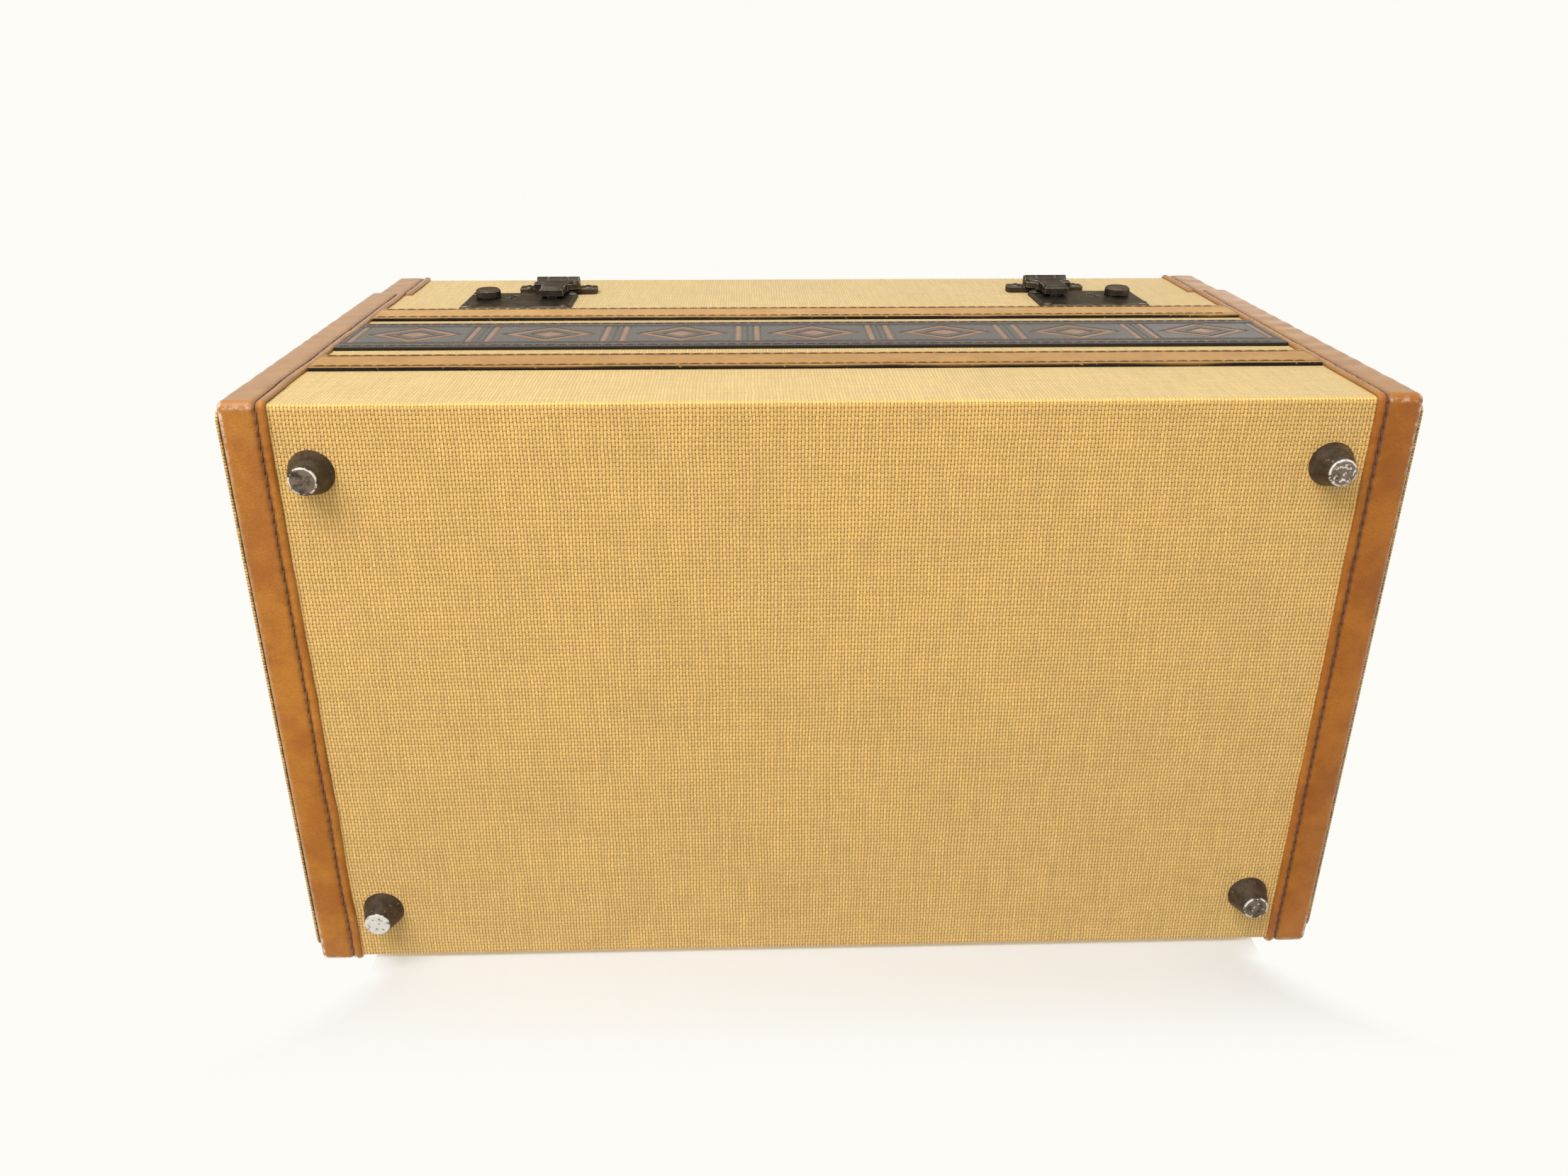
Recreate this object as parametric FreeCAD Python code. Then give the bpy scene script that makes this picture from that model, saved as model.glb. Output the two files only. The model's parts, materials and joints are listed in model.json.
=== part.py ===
import FreeCAD, Part
import math
import os

# Vanity case: a boarded box under canvas and leather, on four feet, with a hinged lid,
# two hasp latches on the front and a carrying handle on the lid.
# Millimetres. +X is to the right of the front, +Y to the back, +Z up.
# The origin is on the ground, in the middle of the box that the whole case fills.

V = FreeCAD.Vector

# Case
case_width = 350.0          # across the two leather end bindings
case_depth = 202.0          # front binding to back binding
body_height = 160.5         # binding under the base to the lid seam
lid_height = 37.0           # lid seam to the binding on top
lid_setback = 0.4           # lid front stands in from the body front
lid_end_setback = 2.2       # each lid end stands in from the body end
lid_seam = 0.4              # closed gap between body and lid

# Walls, from the inside out
lining_t = 0.8
board_t = 6.0
lid_board_t = 5.0
canvas_t = 0.8
leather_t = 1.0

# Leather bindings round both ends
binding_width = 14.0        # on the front, base, back and lid top
binding_flange = 13.0       # turned over on to the end faces
binding_corner_r = 2.5      # along the long edges of the case
binding_end_r = 2.2         # round the edge of each end face

# Canvas end panels, each over the flange of its binding
panel_t = 2.0
panel_inset = 3.2           # panel edge to the edge of the end face
panel_corner_r = 4.0
panel_edge_r = 0.7
panel_gap = 0.2             # panel backing to the binding's inner edge

# Leather trim across the front, upper edges given as drops below the lid seam
trim_t = 1.3
trim_edge_r = 0.4
trim_end_gap = 0.3          # trim end to the binding's inner edge
strip_height = 17.0
band_height = 36.5
upper_strip_drop = 32.3
band_drop = 58.5
lower_strip_drop = 105.2

# Feet under the base and the screws that hold them
foot_height = 8.2
foot_base_r = 6.9
foot_tip_r = 4.2
foot_tip_round = 0.7
foot_inset_x = 24.0         # foot centre to the end of the case
foot_inset_y = 21.5         # foot centre to the front or back of the case
foot_screw_r = 1.5
foot_screw_depth = 5.5      # into the foot
foot_screw_head_r = 3.0
foot_screw_head_h = 1.6

# Fits
fastener_gap = 0.05         # radial, shank to hole
running_gap = 0.06          # radial, pin to knuckle
motion_gap = 0.35           # beside any piece that moves
slide_gap = 0.3             # bolt to the walls of its lock case

# Domed rivets
rivet_head_r = 1.8
rivet_head_h = 0.9
rivet_shank_r = 0.8
rivet_grip = 3.0            # shank length below the canvas

# Lock plates on the body front
plate_inset = 63.0          # middle of the plate to the end of the case
plate_width = 42.0
plate_drop = 3.1            # upper edge below the lid seam
plate_height = 28.2
plate_t = 1.5
plate_bevel = 0.6
plate_corner_r = 1.2
plate_rivet_inset = 2.3
latch_drop = 12.2           # knob, keyhole and bolt share this line below the lid seam
keyhole_offset = 3.5        # keyhole outwards from the plate's middle
keyhole_lobe_r = 1.25
keyhole_lean = 0.9          # each lobe sideways from the keyhole's middle
keyhole_rise = 1.9          # and up or down from it
keyhole_slot = 1.4          # width between the lobes

# Knob and bolt of a latch: the knob slides towards the hasp to shoot the bolt
knob_offset = 13.0          # knob outwards from the plate's middle
knob_r = 4.8
knob_h = 3.0
knob_chamfer = 0.7
knob_stand = 0.4            # knob above its plate
knob_travel = 3.4
stem_r = 1.5
bolt_t = 2.0
bolt_height = 3.6
bolt_tail = 3.0             # bolt past the knob's centre
bolt_set_in = 0.7           # bolt behind the canvas face
bolt_release = 0.7          # drawn bolt to the catch
case_wall = 0.6
case_depth_in = 4.6         # lock case into the front board
case_fit = 0.15             # lock case to its pocket
case_head = 4.6             # lock case wall above the bolt's middle line
case_foot = 6.4             # lock case wall below it
case_toe = 4.2              # lock case past the middle of the hasp
spring_t = 0.35
spring_width = 1.8
spring_length = 16.0
spring_gap = 0.15           # spring crown to bolt

# Hasps, hinged on the lid front
hasp_offset = 12.2          # hasp inwards from the plate's middle
hasp_pin_stand = 4.2        # pin above the lid's canvas
hasp_pin_z = 6.0            # pin above the lid seam
hasp_pin_r = 0.9
hasp_knuckle_r = 2.4
hasp_centre_knuckle = 7.3
hasp_side_knuckle = 4.5
ear_span = 31.0
ear_height = 7.2
ear_lift = 2.0              # ears above the lid's lower edge
ear_t = 2.4
ear_corner_r = 1.4
ear_rivet_inset = 3.6
saddle_t = 1.2              # base plate under the knuckles
flap_stand = 3.0            # underside of the flap above the canvas
flap_t = 2.1
flap_shoulder = 18.0
shoulder_drop = 9.5         # shoulder's lower edge below the pin
flap_tier = 0.7
flap_tier_inset = 1.7
nose_width = 9.2
nose_top_stand = 6.4
nose_drop = 22.1            # nose end below the pin
nose_length = 10.5
nose_chamfer = 1.1
catch_width = 3.6
catch_height = 5.0
catch_wall = 1.0            # round the eye that the bolt enters
catch_gap = 0.6             # catch to the sides of its slot

# Hinges on the back
hinge_inset = 67.0          # middle of the hinge to the end of the case
hinge_width = 34.0
hinge_leaf = 15.0           # leaf height from the pin
hinge_leaf_t = 1.2
hinge_knuckle_r = 2.4
hinge_pin_r = 1.0
hinge_pin_stand = 2.8       # pin behind the canvas
hinge_centre_knuckle = 13.0
hinge_rivet_inset = 5.0
hinge_corner_r = 2.0

# Handle on the lid
handle_x = 60.0             # middle of each bracket
bracket_length = 30.0
bracket_width = 12.0
bracket_t = 1.4
bracket_corner_r = 3.0
bracket_rivet_inset = 3.8
handle_pin_stand = 5.0      # pivot above the lid's canvas
saddle_r = 3.2
loop_wire_r = 1.6
loop_span = 13.0            # between the middles of the loop's legs
loop_reach = 11.0           # pivot to the loop's outer bar
grip_reach = 36.0           # pivot to the middle of the grip
grip_half_height = 6.5
grip_half_thick = 4.5
grip_bend_r = 20.0
eye_r = 3.4                 # leather round the loop's outer bar
grip_rest_gap = 0.5         # folded grip above the lid

# Mirror in the lid
mirror_width = 230.0
mirror_depth = 120.0
mirror_t = 2.5
frame_face = 10.0
frame_lap = 4.0
frame_t = 4.5
frame_edge_r = 1.5
mirror_gap = 0.2

# Places worked out from the sizes above
half_width = case_width / 2
front_reach = case_depth / 2 - leather_t - lid_setback + hasp_pin_stand + hasp_knuckle_r
back_reach = case_depth / 2 - leather_t + hinge_pin_stand + hinge_knuckle_r
mid_y = (front_reach - back_reach) / 2
front_y = mid_y - case_depth / 2
back_y = mid_y + case_depth / 2
base_canvas_z = foot_height
base_z = base_canvas_z - leather_t
base_board_z = base_canvas_z + canvas_t
seam_z = base_z + body_height
lid_z = seam_z + lid_seam
top_z = seam_z + lid_height
top_canvas_z = top_z - leather_t
top_board_z = top_canvas_z - canvas_t
front_canvas_y = front_y + leather_t
back_canvas_y = back_y - leather_t
lid_front_canvas_y = front_canvas_y + lid_setback
lid_half_width = half_width - lid_end_setback
end_x = half_width - leather_t
lid_end_x = lid_half_width - leather_t
canvas_corner_r = binding_corner_r - leather_t
canvas_end_r = binding_end_r - leather_t
board_corner_r = canvas_corner_r - canvas_t
board_end_r = canvas_end_r - canvas_t
latch_z = seam_z - latch_drop
plate_x = half_width - plate_inset
keyhole_x = plate_x + keyhole_offset
knob_x = plate_x + knob_offset
hasp_x = plate_x - hasp_offset
hinge_x = half_width - hinge_inset
foot_x = half_width - foot_inset_x
foot_y = case_depth / 2 - foot_inset_y
lid_inner_z = top_board_z - lid_board_t - lining_t
reach = 2 * (case_width + case_depth + body_height + lid_height)
cut_over = 1.0              # cutting shapes pass the faces that they open by this much
join_lap = 1.0              # pieces of one solid lap by this much where they join

nodes = {}


def box(x0, x1, y0, y1, z0, z1):
    return Part.makeBox(x1 - x0, y1 - y0, z1 - z0, V(x0, y0, z0))


def rod(radius, start, end):
    along = end - start
    return Part.makeCylinder(radius, along.Length, start, along)


def fillet(shape, radius, chosen):
    edges = [e for e in shape.Edges if chosen(e)]
    return shape.makeFillet(radius, edges)


def runs_along(edge, axis):
    if not isinstance(edge.Curve, Part.Line):
        return False
    return abs(abs(edge.Curve.Direction.dot(axis)) - 1) < 1e-6


def lies_at(edge, axis, place):
    low = edge.BoundBox
    ends = {"x": (low.XMin, low.XMax), "y": (low.YMin, low.YMax), "z": (low.ZMin, low.ZMax)}[axis]
    return all(abs(value - place) < 1e-4 for value in ends)


def add_pair(name, right_shape):
    """Store a right-hand piece and its mirror image."""
    nodes["right_" + name] = right_shape
    nodes["left_" + name] = right_shape.mirror(V(0, 0, 0), V(1, 0, 0))


def both_sides(shapes):
    return shapes + [s.mirror(V(0, 0, 0), V(1, 0, 0)) for s in shapes]


def envelope(half, y0, y1, z0, z1, closed_z, corner_r, end_r):
    """Block with its long edges and end edges rounded, apart from the open side at the seam."""
    block = box(-half, half, y0, y1, z0, z1)
    block = fillet(block, corner_r, lambda e: runs_along(e, V(1, 0, 0)) and lies_at(e, "z", closed_z))
    open_z = z1 if closed_z == z0 else z0
    for side in (-half, half):
        block = fillet(block, end_r, lambda e: lies_at(e, "x", side) and not lies_at(e, "z", open_z))
    return block


def slab_x(x0, x1):
    return box(x0, x1, -reach, reach, -reach, reach)


def slab_z(z0, z1):
    return box(-reach, reach, -reach, reach, z0, z1)


# Body envelopes, outside to inside
body_leather = envelope(half_width, front_y, back_y, base_z, seam_z, base_z,
                        binding_corner_r, binding_end_r)
body_cloth = envelope(end_x, front_canvas_y, back_canvas_y, base_canvas_z, seam_z, base_canvas_z,
                      canvas_corner_r, canvas_end_r)
body_wood = envelope(end_x, front_canvas_y + canvas_t, back_canvas_y - canvas_t, base_board_z, seam_z,
                     base_board_z, board_corner_r, board_end_r)

# Lid envelopes
lid_leather = envelope(lid_half_width, front_y + lid_setback, back_y, lid_z, top_z, top_z,
                       binding_corner_r, binding_end_r)
lid_cloth = envelope(lid_end_x, lid_front_canvas_y, back_canvas_y, lid_z, top_canvas_z, top_canvas_z,
                     canvas_corner_r, canvas_end_r)
lid_wood = envelope(lid_end_x, lid_front_canvas_y + canvas_t, back_canvas_y - canvas_t, lid_z,
                    top_board_z, top_board_z, board_corner_r, board_end_r)


def shank(start, direction, length, extra=0.0):
    return Part.makeCylinder(rivet_shank_r + extra, length, start, direction)


def rivet(seat, outward, plate_thickness):
    """Dome head on a seat, with a shank back through the plate and into the wall."""
    sphere_r = (rivet_head_r ** 2 + rivet_head_h ** 2) / (2 * rivet_head_h)
    centre = seat - outward * (sphere_r - rivet_head_h)
    ball = Part.makeSphere(sphere_r, centre)
    keep = Part.makeCylinder(rivet_head_r * 2, rivet_head_h * 2, seat, outward)
    head = ball.common(keep)
    return head.fuse(shank(seat, -outward, plate_thickness + rivet_grip)).removeSplitter()


def rivet_hole(seat, outward, plate_thickness):
    top = seat + outward * plate_thickness
    depth = 2 * plate_thickness + rivet_grip + fastener_gap
    return shank(top, -outward, depth, fastener_gap)


def rounded_plate(x0, x1, y0, y1, z0, z1, axis, corner_r):
    """Flat plate with its four corners rounded about the given axis."""
    return fillet(box(x0, x1, y0, y1, z0, z1), corner_r, lambda e: runs_along(e, axis))


# Where the riveted hardware sits, on the right-hand side
AWAY_FRONT = V(0, -1, 0)
AWAY_BACK = V(0, 1, 0)
UP = V(0, 0, 1)

plate_seat_y = front_canvas_y - plate_t
plate_high_z = seam_z - plate_drop
plate_low_z = plate_high_z - plate_height
plate_x0 = plate_x - plate_width / 2
plate_x1 = plate_x + plate_width / 2
plate_rivet_seats = [
    V(x, plate_seat_y, z)
    for x in (plate_x0 + plate_rivet_inset, plate_x1 - plate_rivet_inset)
    for z in (plate_low_z + plate_rivet_inset, plate_high_z - plate_rivet_inset)
]

ear_z0 = lid_z + ear_lift
ear_rivet_seats = [
    V(hasp_x + side * (ear_span / 2 - ear_rivet_inset), lid_front_canvas_y - ear_t, ear_z0 + ear_height / 2)
    for side in (-1, 1)
]

hinge_z = seam_z + lid_seam / 2
hinge_pin_y = back_canvas_y + hinge_pin_stand
hinge_rivet_seats = {
    half: [
        V(hinge_x + side * (hinge_width / 2 - hinge_rivet_inset), back_canvas_y + hinge_leaf_t,
          hinge_z + half * (hinge_leaf - hinge_rivet_inset))
        for side in (-1, 1)
    ]
    for half in (-1, 1)
}

bracket_rivet_seats = [
    V(handle_x + side * (bracket_length / 2 - bracket_rivet_inset), mid_y, top_canvas_z + bracket_t)
    for side in (-1, 1)
]


def holes(seats, outward, plate_thickness):
    return both_sides([rivet_hole(seat, outward, plate_thickness) for seat in seats])


body_front_holes = holes(plate_rivet_seats, AWAY_FRONT, plate_t)
lid_front_holes = holes(ear_rivet_seats, AWAY_FRONT, ear_t)
body_back_holes = holes(hinge_rivet_seats[-1], AWAY_BACK, hinge_leaf_t)
lid_back_holes = holes(hinge_rivet_seats[1], AWAY_BACK, hinge_leaf_t)
lid_top_holes = holes(bracket_rivet_seats, UP, bracket_t)

# Lock pocket in the front board and the slot that lets the catch lift out with the lid
case_x0 = hasp_x - case_toe
case_x1 = knob_x + bolt_tail + slide_gap + case_wall
case_z0 = latch_z - case_foot
case_z1 = latch_z + case_head
case_front_y = front_canvas_y + canvas_t
case_back_y = case_front_y + case_depth_in
catch_deep_y = front_canvas_y + bolt_set_in + bolt_t + catch_wall + slide_gap
hasp_pin_y = lid_front_canvas_y - hasp_pin_stand
pin_z = seam_z + hasp_pin_z
catch_z0 = latch_z - catch_height / 2
catch_arc_r = math.hypot(pin_z - catch_z0, catch_deep_y - hasp_pin_y)
catch_swing = catch_arc_r - (pin_z - catch_z0) + motion_gap
catch_slot = both_sides([box(
    hasp_x - catch_width / 2 - catch_gap, hasp_x + catch_width / 2 + catch_gap,
    plate_seat_y - cut_over, catch_deep_y + catch_gap, catch_z0 - catch_swing, seam_z + cut_over)])
pocket = both_sides([box(case_x0 - case_fit, case_x1 + case_fit, front_canvas_y - cut_over,
                         case_back_y + case_fit, case_z0 - case_fit, case_z1 + case_fit)])

# Foot screws pass down through the base board and canvas into the feet
foot_places = [V(x, mid_y + y, 0) for x in (-foot_x, foot_x) for y in (-foot_y, foot_y)]
base_inner_z = base_board_z + board_t


def foot_screw(place, extra):
    top = V(place.x, place.y, base_inner_z)
    head = Part.makeCylinder(foot_screw_head_r + extra, foot_screw_head_h + extra, top, V(0, 0, -1))
    length = base_inner_z - foot_height + foot_screw_depth + extra
    return head.fuse(Part.makeCylinder(foot_screw_r + extra, length, top, V(0, 0, -1))).removeSplitter()


screw_holes = [foot_screw(place, fastener_gap) for place in foot_places]


def build_body_boards():
    boards = body_wood.common(slab_z(-reach, seam_z - lining_t))
    inner_x = end_x - board_t
    front_in = front_canvas_y + canvas_t + board_t
    back_in = back_canvas_y - canvas_t - board_t
    middle = boards.common(slab_x(-inner_x, inner_x))
    add_pair("end_board", boards.common(slab_x(inner_x, reach)))
    front = middle.common(box(-reach, reach, -reach, front_in, -reach, reach))
    nodes["front_board"] = front.cut(pocket + catch_slot + body_front_holes)
    back = middle.common(box(-reach, reach, back_in, reach, -reach, reach))
    nodes["back_board"] = back.cut(body_back_holes)
    base = middle.common(box(-reach, reach, front_in, back_in, -reach, base_inner_z))
    nodes["bottom_board"] = base.cut(screw_holes)


def build_body_cover():
    cover_x = end_x - canvas_end_r
    cover = body_cloth.cut(body_wood).common(slab_x(-cover_x, cover_x))
    nodes["body_canvas"] = cover.cut(pocket + catch_slot + body_front_holes + body_back_holes + screw_holes)
    nodes["body_lining"] = lining_shell(body_wood, board_t, base_inner_z, seam_z, base_z).cut(catch_slot)


def lining_shell(wood, wall, floor_z, rim_z, side_z):
    """Cloth lining of a tray: floor, four walls and a flange over the edges of the boards."""
    bounds = wood.BoundBox
    low, high = min(floor_z, rim_z), max(floor_z, rim_z)
    up = 1 if rim_z > side_z else -1
    tray = box(bounds.XMin + wall, bounds.XMax - wall, bounds.YMin + wall, bounds.YMax - wall, low, high)
    flange_end = rim_z - up * lining_t
    flange = wood.common(slab_z(min(rim_z, flange_end), max(rim_z, flange_end)))
    inset = wall + lining_t
    floor_top = floor_z + up * lining_t
    hollow_end = rim_z + up * cut_over
    hollow = box(bounds.XMin + inset, bounds.XMax - inset, bounds.YMin + inset, bounds.YMax - inset,
                 min(floor_top, hollow_end), max(floor_top, hollow_end))
    return tray.fuse(flange).cut(hollow).removeSplitter()


def binding(leather, cloth, half, flange_low_z, flange_high_z, y0, y1):
    """Leather round one end: over the edge, and turned on to the end face as a flange."""
    wrap = leather.common(slab_x(half - binding_width, reach)).cut(cloth)
    window = box(half - leather_t - cut_over, reach, y0 + binding_flange, y1 - binding_flange,
                 flange_low_z, flange_high_z)
    return wrap.cut(window)


def end_panel(half, y0, y1, z0, z1, low_round, window_z0, window_z1):
    """Canvas-covered board over a binding's flange, with a backing that fills the flange's window."""
    inset_low = z0 + (panel_inset if low_round else 0)
    inset_high = z1 - (0 if low_round else panel_inset)
    plate = box(half, half + panel_t, y0 + panel_inset, y1 - panel_inset, inset_low, inset_high)
    round_z = inset_low if low_round else inset_high
    plate = fillet(plate, panel_corner_r,
                   lambda e: runs_along(e, V(1, 0, 0)) and lies_at(e, "z", round_z))
    plate = fillet(plate, panel_edge_r, lambda e: lies_at(e, "x", half + panel_t))
    lap = binding_flange + panel_gap
    backing = box(half - leather_t, half + panel_t / 2, y0 + lap, y1 - lap, window_z0, window_z1)
    return plate.fuse(backing).removeSplitter()


def build_ends():
    body_window_z = base_z + binding_flange
    add_pair("body_binding", binding(body_leather, body_cloth, half_width, body_window_z, reach,
                                     front_y, back_y))
    add_pair("end_panel", end_panel(half_width, front_y, back_y, base_z, seam_z, True,
                                    body_window_z + panel_gap, seam_z))
    lid_window_z = top_z - binding_flange
    lid_front_y = front_y + lid_setback
    add_pair("lid_binding", binding(lid_leather, lid_cloth, lid_half_width, -reach, lid_window_z,
                                    lid_front_y, back_y))
    add_pair("lid_panel", end_panel(lid_half_width, lid_front_y, back_y, lid_z, top_z, False,
                                    lid_z, lid_window_z - panel_gap))


def trim(drop, height):
    end = half_width - binding_width - trim_end_gap
    high = seam_z - drop
    piece = box(-end, end, front_canvas_y - trim_t, front_canvas_y, high - height, high)
    face_y = front_canvas_y - trim_t
    return fillet(piece, trim_edge_r, lambda e: runs_along(e, V(1, 0, 0)) and lies_at(e, "y", face_y))


def build_trim():
    nodes["lower_trim_strip"] = trim(lower_strip_drop, strip_height)
    nodes["embossed_band"] = trim(band_drop, band_height)
    nodes["upper_trim_strip"] = trim(upper_strip_drop, strip_height)


def foot(place):
    outline = Part.Wire(Part.makePolygon([
        V(0, 0, 0), V(foot_tip_r, 0, 0), V(foot_base_r, 0, foot_height), V(0, 0, foot_height), V(0, 0, 0)]))
    cone = Part.Face(outline).revolve(V(0, 0, 0), V(0, 0, 1), 360)
    cone = fillet(cone, foot_tip_round, lambda e: lies_at(e, "z", 0) and e.Length > foot_tip_r)
    cone.translate(place)
    return cone


def build_feet():
    feet = [foot(place).cut(foot_screw(place, fastener_gap)) for place in foot_places]
    nodes["feet"] = Part.makeCompound(feet)
    nodes["foot_screws"] = Part.makeCompound([foot_screw(place, 0) for place in foot_places])


def lock_plate():
    plate = rounded_plate(plate_x0, plate_x1, plate_seat_y, front_canvas_y, plate_low_z, plate_high_z,
                          V(0, 1, 0), plate_corner_r)
    rim = [e for e in plate.Edges if lies_at(e, "y", plate_seat_y)]
    plate = plate.makeChamfer(plate_bevel, rim)
    slot_r = stem_r + motion_gap
    near_y = plate_seat_y - cut_over
    far_y = front_canvas_y + cut_over
    slot_ends = [V(x, near_y, latch_z) for x in (knob_x, knob_x - knob_travel)]
    through = V(0, far_y - near_y, 0)
    slot = [rod(slot_r, end, end + through) for end in slot_ends]
    slot.append(box(knob_x - knob_travel, knob_x, near_y, far_y, latch_z - slot_r, latch_z + slot_r))
    return plate.cut(slot + keyhole(near_y, through) + catch_slot + body_front_holes)


def keyhole(near_y, through):
    """Two round lobes, one up and inwards, the other down and outwards, with a slot between them."""
    lobe = V(-keyhole_lean, 0, keyhole_rise)
    middle = V(keyhole_x, near_y, latch_z)
    beside = V(lobe.z, 0, -lobe.x).normalize() * (keyhole_slot / 2)
    corners = [middle + lobe + beside, middle + lobe - beside, middle - lobe - beside, middle - lobe + beside]
    slot = Part.Face(Part.makePolygon(corners + corners[:1])).extrude(through)
    ends = [middle + lobe, middle - lobe]
    return [slot] + [rod(keyhole_lobe_r, end, end + through) for end in ends]


def lock_case():
    outer = box(case_x0, case_x1, case_front_y, case_back_y, case_z0, case_z1)
    inner = box(case_x0 + case_wall, case_x1 - case_wall, case_front_y - cut_over, case_back_y - case_wall,
                case_z0 + case_wall, case_z1 - case_wall)
    return outer.cut([inner] + catch_slot)


bolt_tip_x = hasp_x + catch_width / 2 + bolt_release
bolt_front_y = front_canvas_y + bolt_set_in


def lock_bolt():
    bar = box(bolt_tip_x, knob_x + bolt_tail, bolt_front_y, bolt_front_y + bolt_t,
              latch_z - bolt_height / 2, latch_z + bolt_height / 2)
    tip_height = catch_height - 2 * catch_wall - 2 * slide_gap
    tip_end = bolt_tip_x + knob_travel + slide_gap
    near_y = bolt_front_y - cut_over
    far_y = bolt_front_y + bolt_t + cut_over
    for z0, z1 in ((-bolt_height, -tip_height / 2), (tip_height / 2, bolt_height)):
        bar = bar.cut(box(bolt_tip_x - cut_over, tip_end, near_y, far_y, latch_z + z0, latch_z + z1))
    stem_hole = rod(stem_r + fastener_gap, V(knob_x, near_y, latch_z), V(knob_x, far_y, latch_z))
    return bar.cut(stem_hole)


def lock_knob():
    seat = V(knob_x, plate_seat_y - knob_stand, latch_z)
    head = rod(knob_r, seat, seat + AWAY_FRONT * knob_h)
    head = head.makeChamfer(knob_chamfer, [e for e in head.Edges if lies_at(e, "y", seat.y - knob_h)])
    stem_end = V(knob_x, bolt_front_y + bolt_t, latch_z)
    return head.fuse(rod(stem_r, seat, stem_end)).removeSplitter()


def lock_spring():
    """Arched leaf on the floor of the lock case, its crown under the bolt."""
    middle_x = (bolt_tip_x + knob_travel + knob_x) / 2
    low = case_z0 + case_wall
    rise = latch_z - bolt_height / 2 - spring_gap - low
    y0 = bolt_front_y
    ends = [V(middle_x - spring_length / 2, y0, low), V(middle_x + spring_length / 2, y0, low)]
    upper = Part.Arc(ends[0], V(middle_x, y0, low + rise), ends[1]).toShape()
    thin = V(spring_t, 0, 0)
    lower = Part.Arc(ends[0] + thin, V(middle_x, y0, low + rise - spring_t), ends[1] - thin).toShape()
    feet = [Part.makeLine(ends[0], ends[0] + thin), Part.makeLine(ends[1] - thin, ends[1])]
    outline = Part.Wire(Part.__sortEdges__([upper, lower] + feet))
    return Part.Face(outline).extrude(V(0, spring_width, 0))


def build_locks():
    add_pair("lock_plate", lock_plate())
    add_pair("lock_case", lock_case())
    add_pair("lock_bolt", lock_bolt())
    add_pair("lock_knob", lock_knob())
    add_pair("lock_spring", lock_spring())
    rivets = [rivet(seat, AWAY_FRONT, plate_t) for seat in plate_rivet_seats]
    nodes["lock_plate_rivets"] = Part.makeCompound(both_sides(rivets))


side_knuckle_x = hasp_centre_knuckle / 2 + motion_gap
knuckle_end_x = side_knuckle_x + hasp_side_knuckle


def hasp_base():
    """Plate with two riveted ears and the outer knuckles of the hasp's hinge."""
    plate_y = lid_front_canvas_y
    ears = rounded_plate(hasp_x - ear_span / 2, hasp_x + ear_span / 2, plate_y - ear_t, plate_y, ear_z0,
                         ear_z0 + ear_height, V(0, 1, 0), ear_corner_r)
    recess_x = knuckle_end_x
    recess = box(hasp_x - recess_x, hasp_x + recess_x, plate_y - ear_t - cut_over, plate_y - saddle_t,
                 ear_z0 - cut_over, ear_z0 + ear_height + cut_over)
    base = ears.cut(recess)
    for side in (-1, 1):
        x0, x1 = sorted((hasp_x + side * side_knuckle_x, hasp_x + side * knuckle_end_x))
        barrel = rod(hasp_knuckle_r, V(x0, hasp_pin_y, pin_z), V(x1, hasp_pin_y, pin_z))
        web = box(x0, x1, hasp_pin_y, plate_y, pin_z - hasp_knuckle_r, pin_z + hasp_knuckle_r)
        base = base.fuse([barrel, web])
    bore = rod(hasp_pin_r + fastener_gap, V(hasp_x - ear_span, hasp_pin_y, pin_z),
               V(hasp_x + ear_span, hasp_pin_y, pin_z))
    return base.removeSplitter().cut([bore] + lid_front_holes)


def front_outline(points, stand, thickness):
    """Extrude an outline drawn on the front, from its underside outwards."""
    y = lid_front_canvas_y - stand
    corners = [V(hasp_x + x, y, pin_z - drop) for x, drop in points]
    return Part.Face(Part.makePolygon(corners + corners[:1])).extrude(V(0, -thickness, 0))


def flap_points(inset):
    shoulder = flap_shoulder / 2 - inset
    nose = nose_width / 2
    top = hasp_knuckle_r + motion_gap + inset
    low = shoulder_drop - inset
    neck = low - (shoulder - nose) / 2
    root = nose_drop - nose_length / 2
    right = [(shoulder, top), (shoulder, neck), (nose, low), (nose, root)]
    return right + [(-x, drop) for x, drop in reversed(right)]


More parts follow.
